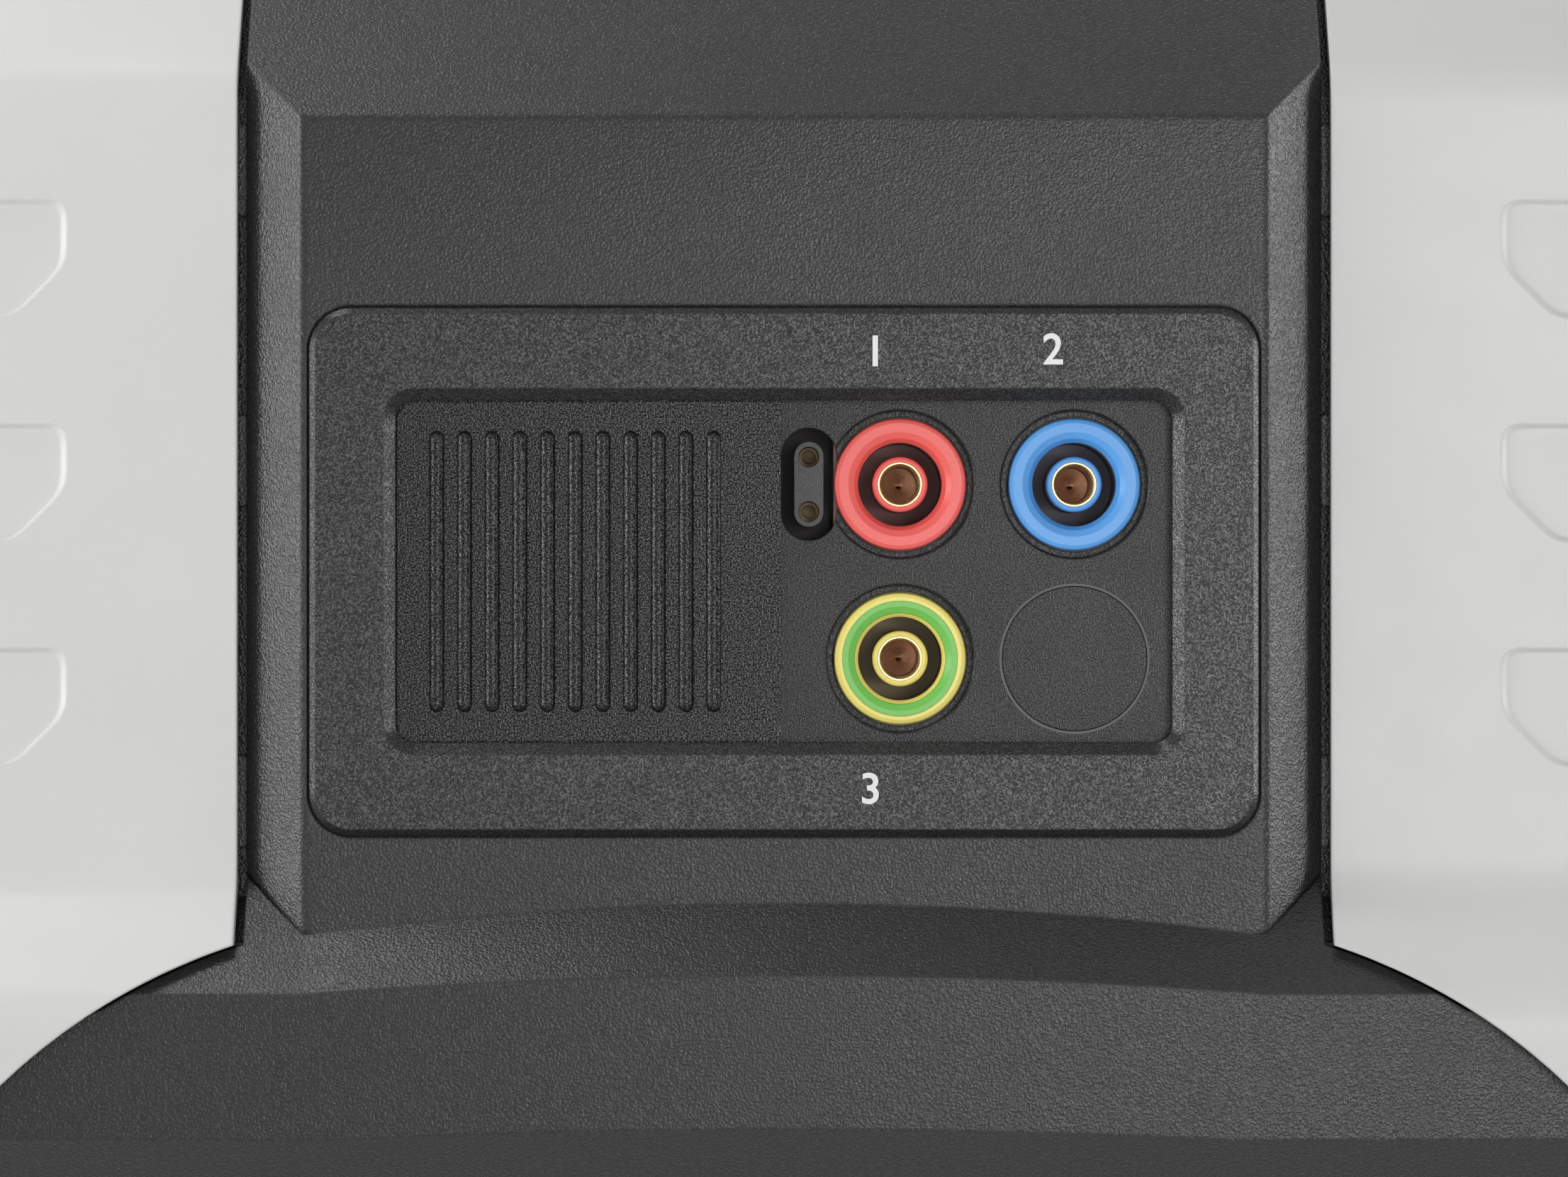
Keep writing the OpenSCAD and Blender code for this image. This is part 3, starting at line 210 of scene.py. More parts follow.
def tipped(tree, surface, pattern, depth, edge, strength=1.0):
    """Tips the normal by a pattern of the given depth, over corners that look rounded by edge."""
    corner = node(tree, "ShaderNodeBevel", Radius=edge, samples=CORNER_SAMPLES)
    bump = node(tree, "ShaderNodeBump", Strength=strength, Distance=depth)
    tree.links.new(pattern, bump.inputs["Height"])
    tree.links.new(corner.outputs["Normal"], bump.inputs["Normal"])
    tree.links.new(bump.outputs["Normal"], surface.inputs["Normal"])


def grain(tree, surface, size, depth, edge, detail=3.0):
    """An even grain; its pattern is returned, so that a colour can follow it."""
    pattern = noise(tree, size, detail)
    tipped(tree, surface, pattern, depth, edge)
    return pattern


# %% Two kinds of moulding
def moulded(name, colour, rough, size=0.22 * MM, depth=0.01 * MM, spread=0.05, edge=0.25 * MM):
    """Smooth plastic with a slow, slight change of colour."""
    made, tree, surface = bare_finish(name)
    mottled(tree, surface, colour, spread)
    grain(tree, surface, size, depth, edge)
    tree.links.new(ranged(tree, noise(tree, 11 * MM, 3.0), rough - 0.04, rough + 0.04), surface.inputs["Roughness"])
    return made


def eroded(name, colour, rough, size=0.28 * MM, depth=0.09 * MM, spread=0.2, edge=0.5 * MM, level=0.36, gloss=0.06):
    """Plastic with the grain of a spark-eroded mould, whose peaks are paler and glossier than its pits."""
    made, tree, surface = bare_finish(name)
    pattern = grain(tree, surface, size, depth, edge, 1.5)
    stops = (0.36, shade(colour, 1 - spread)), (0.52, shade(colour, 1)), (0.7, shade(colour, 1 + 3 * spread))
    tree.links.new(ramped(tree, pattern, *stops), surface.inputs["Base Color"])
    surface.inputs["Specular IOR Level"].default_value = level
    shine = ranged(tree, pattern, level * (1 - gloss), level * (1 + 2 * gloss), 0.4, 0.72)
    tree.links.new(shine, surface.inputs["Specular IOR Level"])
    tree.links.new(ranged(tree, noise(tree, 9 * MM, 4.0), rough - 0.03, rough + 0.04), surface.inputs["Roughness"])
    return made


def dress(finish, *names):
    """Gives solids a finish in place of their plain one."""
    for name in names:
        solids[name].data.materials.clear()
        solids[name].data.materials.append(finish)
    print(f"{finish.name}:", *names)


# %% The black and grey mouldings
FINE = {"size": 0.19 * MM, "spread": 0.3}
housing_black = eroded("housing_black", (0.018, 0.018, 0.019), 0.25)
panel_black = eroded(
    "panel_black", (0.022, 0.022, 0.023), 0.22, depth=0.045 * MM, edge=0.3 * MM, level=0.32, gloss=0.5, **FINE
)
ribbed_black = eroded(
    "ribbed_black", (0.01, 0.01, 0.01), 0.18, depth=0.06 * MM, edge=0.1 * MM, level=0.28, gloss=0.8, **FINE
)
well_black = eroded(
    "well_black", (0.012, 0.012, 0.012), 0.25, depth=0.045 * MM, edge=0.2 * MM, level=0.29, gloss=0.3, **FINE
)
grip_grey = moulded(
    "grip_grey", (0.64, 0.64, 0.63), 0.42, size=0.5 * MM, depth=0.012 * MM, spread=0.012, edge=0.5 * MM
)
dress(housing_black, "rear_housing", "front_housing", "battery_door")
dress(panel_black, "terminal_plate", "fascia")
dress(ribbed_black, "sliding_cover")
dress(well_black, "socket_carrier", "battery_tray", "charger_jack", "serial_socket")
dress(grip_grey, "left_grip", "right_grip")

# %% [markdown]
# ## Coloured sockets
# The collars and posts of the sockets are solid-dyed polyamide: red and blue for the two mains leads, and yellow with
# a green ring for the earth. Their throats are 15 mm in depth. A real throat is lit by light that has passed through
# the plastic many times, which takes long to render. So the throat's shade is painted: behind the first two
# millimetres the colour fades to the dark, warm tone that such a throat shows, by a mask that follows the depth.

# %% Depth masks
def fading(tree, front, start, end):
    """A mask for painted shade that grows from 0 to 1 between two depths, in mm, behind the face at y = front."""
    parts = node(tree, "ShaderNodeSeparateXYZ")
    tree.links.new(on_object(tree), parts.inputs["Vector"])
    return ranged(tree, parts.outputs["Y"], 0.0, 1.0, front + start * MM, front + end * MM)


def overlaid(tree, mask, colour, painted_shade):
    """The colour where the mask is 0, and the painted shade colour where it is 1."""
    made = node(tree, "ShaderNodeMix", data_type="RGBA")
    tree.links.new(mask, made.inputs[0])
    tree.links.new(colour, made.inputs[6])
    made.inputs[7].default_value = shade(painted_shade, 1)
    return made.outputs[2]


# %% Dyed sockets
def dyed(name, colour, painted_shade, front, rough=0.28):
    made, tree, surface = bare_finish(name)
    pattern = grain(tree, surface, 0.15 * MM, 0.006 * MM, 0.2 * MM)
    dye = ramped(tree, pattern, (0.3, shade(colour, 0.94)), (0.7, shade(colour, 1.05)))
    # Painted shade: from 1.2 to 2.4 mm behind the collar's front the dye gives way to the throat's dark colour, and
    # the finish turns rough.
    mask = fading(tree, front, 1.2, 2.4)
    tree.links.new(overlaid(tree, mask, dye, painted_shade), surface.inputs["Base Color"])
    tree.links.new(ranged(tree, mask, rough, 0.8, 0.0, 1.0), surface.inputs["Roughness"])
    return made


COLLAR_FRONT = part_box("red_socket")[0].y
# Each socket: its finish, its dye, and the painted shade colour of its throat.
SOCKETS = {
    "red_socket": ("socket_red", (0.92, 0.125, 0.11), (0.54, 0.31, 0.3)),
    "blue_socket": ("socket_blue", (0.1, 0.37, 0.83), (0.39, 0.38, 0.45)),
    "earth_socket": ("socket_yellow", (0.92, 0.79, 0.19), (0.59, 0.5, 0.34)),
    "earth_socket_ring": ("socket_green", (0.16, 0.54, 0.075), (0.1, 0.15, 0.05)),
}
for solid, (finish, colour, painted_shade) in SOCKETS.items():
    dress(dyed(finish, colour, painted_shade, COLLAR_FRONT), solid)
print("collar front at y, mm:", round(COLLAR_FRONT / MM, 2))


# %% Inlet
def sunk_island(name, front):
    """Grained on the front face of the inlet's island; down in its pocket it turns a plain, dark, warm black, which is
    painted shade, and rough.
    """
    made, tree, surface = bare_finish(name)
    pattern = grain(tree, surface, 0.17 * MM, 0.04 * MM, 0.15 * MM)
    face = ramped(tree, pattern, (0.36, (0.012, 0.012, 0.012, 1)), (0.68, (0.045, 0.045, 0.045, 1)))
    # Painted shade: from 0.3 to 0.6 mm behind the island's front the grain gives way to a plain, dark, warm black.
    mask = fading(tree, front, 0.3, 0.6)
    tree.links.new(overlaid(tree, mask, face, (0.02, 0.015, 0.015)), surface.inputs["Base Color"])
    tree.links.new(ranged(tree, mask, 0.38, 0.7, 0.0, 1.0), surface.inputs["Roughness"])
    return made


dress(sunk_island("island_black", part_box("probe_inlet")[0].y), "probe_inlet")

# %% [markdown]
# ## Metals
# The contacts are turned brass, the screws are plated steel, and the transformer's core is a stack of varnished
# sheets. A turned part shows fine rings round its axis and a stack shows its sheets. Both could be cut into the
# solids, but they are finer than a hair. A noise that is stretched across the lines gives the same broken highlight
# at this size.

# %% Metal helpers
def metal(name, colour, rough, stretch):
    """A metal with fine lines; stretch gives the lines per metre along x, y and z."""
    made, tree, surface = bare_finish(name)
    surface.inputs["Metallic"].default_value = 1.0
    mottled(tree, surface, colour, 0.08, 3 * MM)
    mapping = node(tree, "ShaderNodeMapping", Scale=stretch)
    lines = node(tree, "ShaderNodeTexNoise", Scale=1.0, Detail=3.0)
    tree.links.new(on_object(tree), mapping.inputs["Vector"])
    tree.links.new(mapping.outputs["Vector"], lines.inputs["Vector"])
    tree.links.new(ranged(tree, lines.outputs["Fac"], rough - 0.08, rough + 0.08), surface.inputs["Roughness"])
    tipped(tree, surface, lines.outputs["Fac"], 0.004 * MM, 0.08 * MM, strength=0.4)
    return made


def deepened(made, painted_shade, front, start, end):
    """Paints shade into a metal: its colour darkens behind a face, as the inside of a narrow tube looks in shade."""
    tree = made.node_tree
    surface = tree.nodes["Principled BSDF"]
    bright = surface.inputs["Base Color"].links[0].from_socket
    tree.links.new(overlaid(tree, fading(tree, front, start, end), bright, painted_shade), surface.inputs["Base Color"])
    return made


# %% Metals
TURNED = (600, 6000, 600)
CONTACT_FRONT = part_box("red_contact")[0].y
turned_brass = metal("turned_brass", (0.78, 0.6, 0.3), 0.28, TURNED)
# Painted shade: from 0.1 to 0.5 mm behind their front the contacts darken to a dull brown, as down a narrow tube.
turned_brass = deepened(turned_brass, (0.48, 0.33, 0.24), CONTACT_FRONT, 0.1, 0.5)
dress(turned_brass, "red_contact", "blue_contact", "earth_contact")
# Painted shade: the probe pins are brass darkened to near black, as they look down in their holes.
dress(metal("pin_brass_shaded", (0.11, 0.08, 0.05), 0.45, TURNED), "probe_contacts")
dress(metal("spacer_brass", (0.76, 0.56, 0.26), 0.3, TURNED), "board_spacers")
plated_steel = metal("plated_steel", (0.62, 0.62, 0.64), 0.32, (3000, 900, 3000))
dress(plated_steel, "selector_shaft", "battery_contacts", "door_screws", "housing_screws", "grip_screws")
dress(metal("shield_tin", (0.27, 0.27, 0.28), 0.45, (900, 900, 900)), "data_socket")
dress(metal("varnished_core", (0.3, 0.25, 0.2), 0.45, (500, 500, 4000)), "transformer")

# %% [markdown]
# ## Keys, selector and rubber
# The keys are silicone caps in two tones of grey with one orange start key, the selector is moulded like the housing,
# and the feet and the key mat are black rubber with a dusty, matt skin. A shader made for each would only repeat what
# the two mouldings can do already, so these are the same helpers with another grain and roughness.

# %% Keys, selector and rubber
cap_grey = moulded("cap_grey", (0.2, 0.21, 0.225), 0.55, depth=0.012 * MM)
start_orange = moulded("start_orange", (0.72, 0.2, 0.02), 0.5, depth=0.012 * MM)
selector_black = eroded(
    "selector_black", (0.016, 0.016, 0.017), 0.28, size=0.17 * MM, depth=0.03 * MM, edge=0.3 * MM, gloss=0.2
)
soft_rubber = moulded("soft_rubber", (0.02, 0.02, 0.02), 0.75, size=0.35 * MM, depth=0.03 * MM)
grey_keys = [name for name in solids if (name.endswith("_key") or name.startswith("soft_key")) and name != "test_key"]
dress(cap_grey, *grey_keys)
dress(start_orange, "test_key")
dress(selector_black, "selector_knob")
dress(soft_rubber, "feet", "key_mat")

# %% [markdown]
# ## Boards, cells and other inner parts
# These show only when the door or a cover is off, but each still gets the finish of the real thing: solder mask with
# its faint weave, relay cases, printed cell sleeves and black chips. The weave could be a noise too, but glass cloth
# is regular, so a brick pattern comes closer.

# %% Inner parts
def woven_board(name):
    made, tree, surface = bare_finish(name)
    mottled(tree, surface, (0.015, 0.13, 0.05), 0.12, 5 * MM)
    surface.inputs["Roughness"].default_value = 0.32
    weave = node(tree, "ShaderNodeTexBrick", Scale=1400.0)
    bump = node(tree, "ShaderNodeBump", Strength=0.3, Distance=0.01 * MM)
    tree.links.new(on_object(tree), weave.inputs["Vector"])
    tree.links.new(weave.outputs["Fac"], bump.inputs["Height"])
    tree.links.new(bump.outputs["Normal"], surface.inputs["Normal"])
    return made


dress(woven_board("solder_mask"), "input_board", "key_board", "main_board")
dress(moulded("relay_orange", (0.65, 0.22, 0.04), 0.35), "input_relays")
dress(moulded("glazed_ceramic", (0.75, 0.74, 0.68), 0.25, depth=0.003 * MM), "input_fuses")
dress(moulded("wafer_blue", (0.03, 0.08, 0.28), 0.4), "selector_switch")
dress(moulded("case_black", (0.015, 0.015, 0.015), 0.55, depth=0.02 * MM), "board_chips", "buzzer")
dress(moulded("cell_sleeve", (0.03, 0.1, 0.3), 0.25, size=1 * MM, depth=0.005 * MM), "battery_cells")

# %% [markdown]
# ## The display
# A reflective liquid-crystal display is a grey-green sheet with dark segments that float a little above it. It could
# be one glossy panel, but the lens in front is clear acrylic with air behind it, and only a refractive material shows
# both its own reflection and the sheet at its right depth.

# %% Display sheet and lens
def crystal_sheet(name):
    made, tree, surface = bare_finish(name)
    mottled(tree, surface, (0.26, 0.3, 0.25), 0.05, 40 * MM)
    surface.inputs["Roughness"].default_value = 0.4
    grain(tree, surface, 0.1 * MM, 0.001 * MM, 0.05 * MM)
    return made


def clear_lens(name):
    made, tree, surface = bare_finish(name)
    surface.inputs["Base Color"].default_value = (0.93, 0.95, 0.96, 1)
    surface.inputs["Transmission Weight"].default_value = 1.0
    surface.inputs["IOR"].default_value = 1.49
    tree.links.new(ranged(tree, noise(tree, 17 * MM), 0.01, 0.05), surface.inputs["Roughness"])
    return made


dress(crystal_sheet("display_sheet"), "display_module")
dress(clear_lens("lens_acrylic"), "display_lens")

# %% [markdown]
# ## Printing
# Marks are thin plates of ink, 0.03 mm high, that lie on the surface they were printed on. They could be painted into
# a finish, but a mesh keeps its sharp edge at any distance and goes along with a key or the selector. Each mark is
# built flat from its outline and then carried to its work plane, so one helper serves the plate, the fascia and the
# caps.

# %% Ink
INK_HEIGHT = 0.03 * MM
INK_FILM = {"size": 0.1 * MM, "depth": 0.001 * MM, "edge": 0.01 * MM}
ink_pale = moulded("ink_pale", (0.84, 0.84, 0.82), 0.6, spread=0.03, **INK_FILM)
ink_dark = moulded("ink_dark", (0.015, 0.018, 0.018), 0.5, **INK_FILM)
print("inks:", ink_pale.name, ink_dark.name)


# %% Outlines on a work plane
def spot(work_plane, x, y, height, turn=0.0):
    """A place on a work plane in mm, turned by an angle in degrees."""
    place = Matrix.Translation((x * MM, y * MM, height * MM))
    return work_plane @ place @ Matrix.Rotation(math.radians(turn), 4, "Z")


def bar(x, y, width, height):
    left, right, low, high = x - width / 2, x + width / 2, y - height / 2, y + height / 2
    return [[left, low], [right, low], [right, high], [left, high]]


def arc(radius, line, start, end, steps=20):
    """The outline of an open ring between two angles in degrees."""
    turns = [math.radians(start + (end - start) * i / steps) for i in range(steps + 1)]
    out = [[(radius + line / 2) * math.cos(t), (radius + line / 2) * math.sin(t)] for t in turns]
    back = [[(radius - line / 2) * math.cos(t), (radius - line / 2) * math.sin(t)] for t in reversed(turns)]
    return out + back


# %% Plates of ink
def fixed(name, mesh, ink, body):
    """Puts a mesh into the scene, inked and fixed to a body."""
    mesh.materials.clear()
    mesh.materials.append(ink)
    made = bpy.data.objects.new(name, mesh)
    bpy.context.scene.collection.objects.link(made)
    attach(made, body)
    return made


def laid(name, points, faces, where, body, ink):
    """A mesh that is built flat and carried to its work plane."""
    mesh = bpy.data.meshes.new(name)
    mesh.from_pydata(points, [], faces)
    mesh.transform(where)
    return fixed(name, mesh, ink, body)


def printed(name, outlines, where, body="housing", ink=ink_pale):
    """Plates of ink from closed outlines of [x, y] points in mm."""
    points, faces = [], []
    for outline in outlines:
        first, count = len(points), len(outline)
        points += [(x * MM, y * MM, 0.0) for x, y in outline]
        points += [(x * MM, y * MM, INK_HEIGHT) for x, y in outline]
        faces.append([first + count + i for i in range(count)])
        faces.append([first + i for i in reversed(range(count))])
        for i in range(count):
            j = (i + 1) % count
            faces.append([first + i, first + j, first + count + j, first + count + i])
    return laid(name, points, faces, where, body, ink)


def hoop(name, radius, line, where, body="housing", ink=ink_pale, steps=72):
    """A closed ring of ink, with a radius and a line width in mm."""
    points, faces = [], []
    inner, outer = (radius - line / 2) * MM, (radius + line / 2) * MM
    for i in range(steps):
        turn = 2 * math.pi * i / steps
        for r, z in ((inner, 0.0), (outer, 0.0), (outer, INK_HEIGHT), (inner, INK_HEIGHT)):
            points.append((r * math.cos(turn), r * math.sin(turn), z))
        here, there = 4 * i, 4 * ((i + 1) % steps)
        faces += [[there + k, there + (k + 1) % 4, here + (k + 1) % 4, here + k] for k in range(4)]
    return laid(name, points, faces, where, body, ink)


# %% [markdown]
# ## Plain numerals
# The places beside the sockets carry plain numbers. Figures could be drawn point by point, but Blender's own text
# curve has well drawn ones, and a small offset of its outline makes them as bold as the printing on such a panel. The
# curve becomes a mesh, so that every mark here is the same kind of thin plate of ink.

# %% Numerals
FIGURE_SHARE = 0.72  # the height of a figure as a share of the font's size


def print_numeral(name, digits, height, bold, where):
    """Figures of the given height in mm, thickened by bold in mm, in the middle of a spot on a work plane."""
    text = bpy.data.curves.new(name, "FONT")
    text.body = digits
    text.size = height / FIGURE_SHARE
    text.align_x, text.align_y = "CENTER", "CENTER"
    text.offset = bold
    text.extrude = INK_HEIGHT / MM / 2
    text.resolution_u = 6
    drawn = bpy.data.objects.new(name, text)
    mesh = bpy.data.meshes.new_from_object(drawn)
    bpy.data.objects.remove(drawn)
    mesh.transform(where @ Matrix.Scale(MM, 4) @ Matrix.Translation((0, 0, INK_HEIGHT / MM / 2)))
    return fixed(name, mesh, ink_pale, "housing")


for digit, x, z in (("1", 9.9, 97.1), ("2", 29.2, 97.3), ("3", 9.4, 49.6)):
    made = print_numeral(f"socket_number_{digit}", digit, 3.4, 0.06, spot(PLATE, x, z - PLATE_MID.z / MM, 0))
    print(made.name, "height, mm:", round(made.dimensions.z / MM, 2))

# %% [markdown]
# ## The blank place
# A fourth place for a socket is only marked in the mould, by a fine groove. The groove is in the solid, and its outer
# lip catches the light as a thin bright line. That line is a painted highlight: a finish can't pick out one edge
# alone, so a narrow ring of paler plastic lies on the lip, as thin as the ink.

# %% Blank place
FIELD_DEPTH = -3.5
# Painted highlight: a ring of pale grey stands for the light that the groove's outer lip catches.
lip_highlight = moulded("lip_highlight", (0.045, 0.045, 0.045), 0.35, spread=0.5, **INK_FILM)
blank_place = spot(PLATE, 31.65, -9.5, FIELD_DEPTH)
lip = hoop("blank_lip_highlight", 8.07, 0.26, blank_place, ink=lip_highlight, steps=96)
print("blank place, mm across:", round(lip.dimensions.x / MM, 2))

# %% [markdown]
# ## Marks on the control face
# The selector has ten places, each with a tick and a number, and its first and last place are the ends of its turn. A
# pale line in the groove of its bar points at them. The display has a thin printed frame. The ring of ticks could be
# typed in place by place, but one loop is better, because equal angles are easier to get right by rule than by eye.

# %% Selector scale
FASCIA_TOP = 2.0
KNOB = (56.0, 26.0)
TICK_RADIUS, NUMBER_RADIUS = 24.2, 27.9
places, half_turn = 10, 150
ticks = []
for i in range(places):
    angle = math.radians(90 + half_turn - 2 * half_turn * i / (places - 1))
    outward, turned = Vector((math.cos(angle), math.sin(angle))), Matrix.Rotation(angle, 2)
    ticks.append([list(turned @ Vector(p) + Vector(KNOB) + TICK_RADIUS * outward) for p in bar(0, 0, 2.4, 0.5)])
    number = Vector(KNOB) + NUMBER_RADIUS * outward
    print_numeral(f"selector_number_{i}", str(i), 2.6, 0.03, spot(FACE, *number, FASCIA_TOP))
printed("selector_ticks", ticks, spot(FACE, 0, 0, FASCIA_TOP))
print("selector places:", places, "degrees apart:", round(2 * half_turn / (places - 1), 1))

# %% Selector line
KNOB_GAP, KNOB_HEIGHT, GROOVE_DEPTH = 0.4, 15, 0.6
groove_floor = FASCIA_TOP + KNOB_GAP + KNOB_HEIGHT - GROOVE_DEPTH
printed("selector_pointer", [bar(0, 12.5, 1.56, 10.96)], spot(FACE, *KNOB, groove_floor), "selector")
print("groove floor above the face, mm:", round(groove_floor, 2))

# %% Display frame
LENS = (-30.0, 18.0)
FRAME_WIDTH, FRAME_HEIGHT, FRAME_LINE = 112, 70.8, 0.4
frame_bars = [bar(LENS[0], LENS[1] + end * FRAME_HEIGHT / 2, FRAME_WIDTH, FRAME_LINE) for end in (1, -1)]
frame_bars += [
    bar(LENS[0] + end * FRAME_WIDTH / 2, LENS[1], FRAME_LINE, FRAME_HEIGHT - FRAME_LINE) for end in (-1, 1)
]
printed("display_frame", frame_bars, spot(FACE, 0, 0, FASCIA_TOP))
print("display frame, mm:", FRAME_WIDTH, "x", FRAME_HEIGHT)

# %% [markdown]
# ## Key symbols
# The arrow keys, the power key and the start key carry simple signs. They could be printed as one sheet over the
# whole face, but then they would stay behind when a key is pressed, so each rides on its key's own body.

# %% Arrows and start ring
KEY_TOP = FASCIA_TOP + 1.5
NAV = (56.0, -28.5)
NAV_REACH = 17.0
arrow = [[[-1.7, -1.0], [1.7, -1.0], [0, 1.8]]]
for key, dx, dy, turn in (("up", 0, 1, 0), ("left", -1, 0, 90), ("down", 0, -1, 180), ("right", 1, 0, 270)):
    where = spot(FACE, NAV[0] + dx * NAV_REACH, NAV[1] + dy * NAV_REACH, KEY_TOP, turn)
    printed(f"{key}_arrow", arrow, where, f"{key}_key_cap")
hoop("start_ring", 4.2, 0.7, spot(FACE, *NAV, KEY_TOP), "test_key_cap")
print("arrows and ring, mm above the face:", KEY_TOP)

# %% Signs under the display
SOFT_PITCH, SOFT_ROW, SIGN_ROW, SIGN_LINE = 26.0, -26, -44, 0.45
signs = {
    "power": [arc(1.9, SIGN_LINE, 125, 415), bar(0, 1.4, SIGN_LINE, 2.2)],
    "menu": [bar(0, y, 3.6, SIGN_LINE) for y in (-1.2, 0, 1.2)],
    "memory": [bar(x, y, 1.3, 1.3) for x in (-0.95, 0.95) for y in (-0.95, 0.95)],
}
for i, (key, sign) in enumerate(signs.items()):
    printed(f"{key}_sign", sign, spot(FACE, LENS[0] + (i - 1.5) * SOFT_PITCH, SIGN_ROW, KEY_TOP), f"{key}_key_cap")
for i in range(4):
    where = spot(FACE, LENS[0] + (i - 1.5) * SOFT_PITCH, SOFT_ROW, KEY_TOP)
    printed(f"soft_bar_{i + 1}", [bar(0, 0, 6, 0.5)], where, f"soft_key_{i + 1}_cap")

# %% [markdown]
# ## Segments
# The reading is made of seven-segment digits, the form that such displays use. A font could give digits too, but a
# real segment is a six-cornered bar with a small gap to its neighbours, and seven bars with a list of which are on
# are as short to write.

# %% Segment helper
SEGMENTS = {"0": "abcdef", "2": "abged", "3": "abgcd", "5": "afgcd"}
SEGMENT_PLACE = {
    "a": (0, 1, 0), "b": (0.5, 0.5, 90), "c": (0.5, -0.5, 90), "d": (0, -1, 0), "e": (-0.5, -0.5, 90),
    "f": (-0.5, 0.5, 90), "g": (0, 0, 0),
}


def segment(size, name, x, y):
    """One bar of a digit whose middle is at x, y; size is the digit's height."""
    cx, cy, turn = SEGMENT_PLACE[name]
    half, line = size / 2 * 0.46, size * 0.055
    shape = (-half, 0), (line - half, -line), (half - line, -line), (half, 0), (half - line, line), (line - half, line)
    turned = Matrix.Rotation(math.radians(turn), 2)
    return [list(turned @ Vector(p) + Vector((x + cx * size / 2, y + cy * size / 2))) for p in shape]


def digits(text, size, pitch, x, y):
    return [segment(size, name, x + i * pitch, y) for i, digit in enumerate(text) for name in SEGMENTS[digit]]


# %% Display reading
SHEET_FRONT = -0.17
reading = digits("230", 22, 19, LENS[0] - 20, LENS[1] + 3) + digits("50", 8, 7, LENS[0] + 34, LENS[1] + 20)
reading += [bar(LENS[0] + (k - 1.5) * SOFT_PITCH, LENS[1] - 27, 20, 0.4) for k in range(4)]
printed("display_reading", reading, spot(FACE, 0, 0, SHEET_FRONT), ink=ink_dark)
print("bars on the display:", len(reading))

# %% [markdown]
# ## Floor and surroundings
# A photograph of a black object is mostly a photograph of what it reflects. Big white panels would do, but they would
# also light the pale grips until they clip. So the floor and the world are plain white in reflections and give only a
# part of the light, by the kind of ray that meets them. Far out the floor also turns white where the camera sees it,
# as paper swept up behind a product does, and near the object it keeps the shadow.

# %% Kinds of ray
def reckoned(tree, operation, one, other):
    made = node(tree, "ShaderNodeMath", operation=operation)
    tree.links.new(one, made.inputs[0])
    tree.links.new(other, made.inputs[1])
    return made.outputs[0]


def kinds_of_ray(tree):
    """Two factors: 1 for the camera's rays, and 1 for rays that a mirror or a lens has turned."""
    path = node(tree, "ShaderNodeLightPath")
    turned = reckoned(tree, "MAXIMUM", path.outputs["Is Glossy Ray"], path.outputs["Is Transmission Ray"])
    return path.outputs["Is Camera Ray"], turned


def swapped(tree, factor, usual, white):
    """The usual shader where the factor is 0, and the white one where it is 1."""
    mix = node(tree, "ShaderNodeMixShader")
    tree.links.new(factor, mix.inputs["Fac"])
    tree.links.new(usual.outputs[0], mix.inputs[1])
    tree.links.new(white.outputs[0], mix.inputs[2])
    return mix.outputs[0]


# %% Floor
FLOOR_SIDE, FLOOR_DROP = 6, 0.2 * MM
SWEEP_START, SWEEP_END = 0.25, 0.7


def far_out(tree, near, far):
    """0 in the middle of the floor and 1 far out, by the place on the floor."""
    place, away = node(tree, "ShaderNodeNewGeometry"), node(tree, "ShaderNodeVectorMath", operation="LENGTH")
    tree.links.new(place.outputs["Position"], away.inputs[0])
    return ranged(tree, away.outputs["Value"], 0, 1, near, far)


def pale_floor(name):
    """Matt and pale, and plain white in reflections and far out, as a lit sweep of paper is."""
    made, tree, surface = bare_finish(name)
    surface.inputs["Roughness"].default_value = 0.7
    mottled(tree, surface, (0.8, 0.8, 0.8), 0.01, 300 * MM)
    glow = node(tree, "ShaderNodeEmission", Color=(1, 1, 1, 1), Strength=1.0)
    seen, turned = kinds_of_ray(tree)
    swept = reckoned(tree, "MULTIPLY", seen, far_out(tree, SWEEP_START, SWEEP_END))
    white = swapped(tree, reckoned(tree, "MAXIMUM", turned, swept), surface, glow)
    tree.links.new(white, tree.nodes["Material Output"].inputs["Surface"])
    return made


bpy.ops.mesh.primitive_plane_add(size=FLOOR_SIDE, location=(0, 0, -FLOOR_DROP))
floor = bpy.context.object
floor.name = "floor"
floor.data.materials.append(pale_floor("floor_white"))
print("floor, m:", FLOOR_SIDE, "white from", SWEEP_END, "m out")

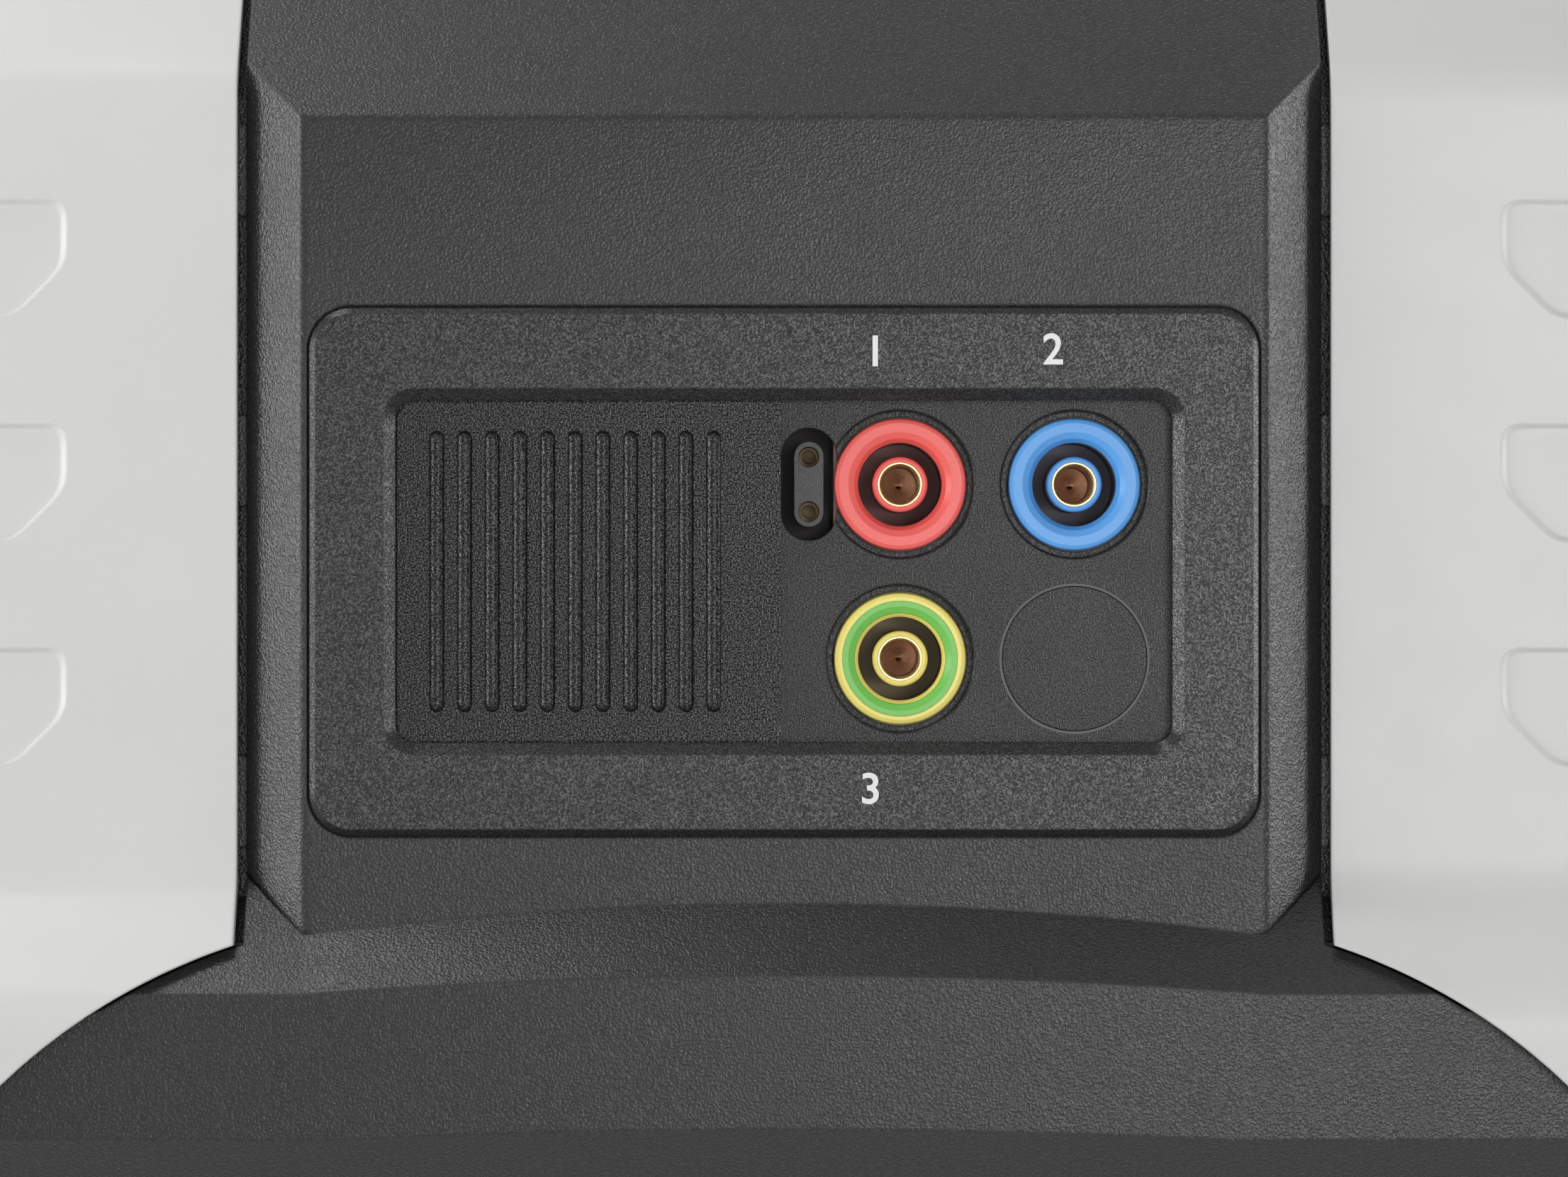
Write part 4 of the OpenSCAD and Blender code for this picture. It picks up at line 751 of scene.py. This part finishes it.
# %% World
WORLD_LIGHT = 0.28
world = bpy.data.worlds.new("studio")
bpy.context.scene.world = world
world.use_nodes = True
sky = world.node_tree
sky.nodes.clear()
lit = node(sky, "ShaderNodeBackground", Color=(1, 1, 1, 1), Strength=WORLD_LIGHT)
white = node(sky, "ShaderNodeBackground", Color=(1, 1, 1, 1), Strength=1.0)
shown = swapped(sky, reckoned(sky, "MAXIMUM", *kinds_of_ray(sky)), lit, white)
sky.links.new(shown, node(sky, "ShaderNodeOutputWorld").inputs["Surface"])
print("world: white where it is seen,", WORLD_LIGHT, "where it lights")

# %% [markdown]
# ## Lamps
# The column's slanted sides lean by 45 degrees, so each mirrors what stands straight to its side: one soft lamp on
# the left and one on the right make them paler than the flat. The flat mirrors the space round the camera, where two
# smaller lamps stand right of the middle. The lamp above on the left is mirrored by the ledge under the column, and
# the last one lights the control side. One big lamp would be simpler, but it would light all these faces alike. The
# energy follows from the lamp's size and a radiance, which is easier to judge than watts.

# %% Lamps
AIM = Vector((0, -45, 70)) * MM


def softbox(name, azimuth, height, distance, size, radiance):
    """A soft lamp at angles in degrees round the object; azimuth 0 is the side of the sockets."""
    data = bpy.data.lights.new(name, "AREA")
    data.shape = "RECTANGLE"
    data.size, data.size_y = size
    data.energy = radiance * math.pi * size[0] * size[1]
    lamp = bpy.data.objects.new(name, data)
    turn, lift = math.radians(azimuth), math.radians(height)
    away = Vector((math.sin(turn) * math.cos(lift), -math.cos(turn) * math.cos(lift), math.sin(lift)))
    lamp.location = AIM + distance * away
    lamp.rotation_euler = (-away).to_track_quat("-Z", "Y").to_euler()
    lamp.visible_camera = False
    bpy.context.scene.collection.objects.link(lamp)


softbox("left_edge", -80, 4, 0.95, (0.3, 0.35), 10.2)
softbox("left_side", -60, 4, 0.95, (0.3, 0.35), 5.4)
softbox("right_edge", 90, 4, 0.95, (0.3, 0.35), 10.8)
softbox("right_front", 20, 4, 0.95, (0.25, 0.35), 6.8)
softbox("low_front", 8, -2, 0.8, (0.4, 0.06), 9.6)
softbox("ledge_left", -75, 66, 0.6, (0.2, 0.2), 7.4)
softbox("control_side", 165, 40, 1.2, (0.9, 0.7), 2.4)
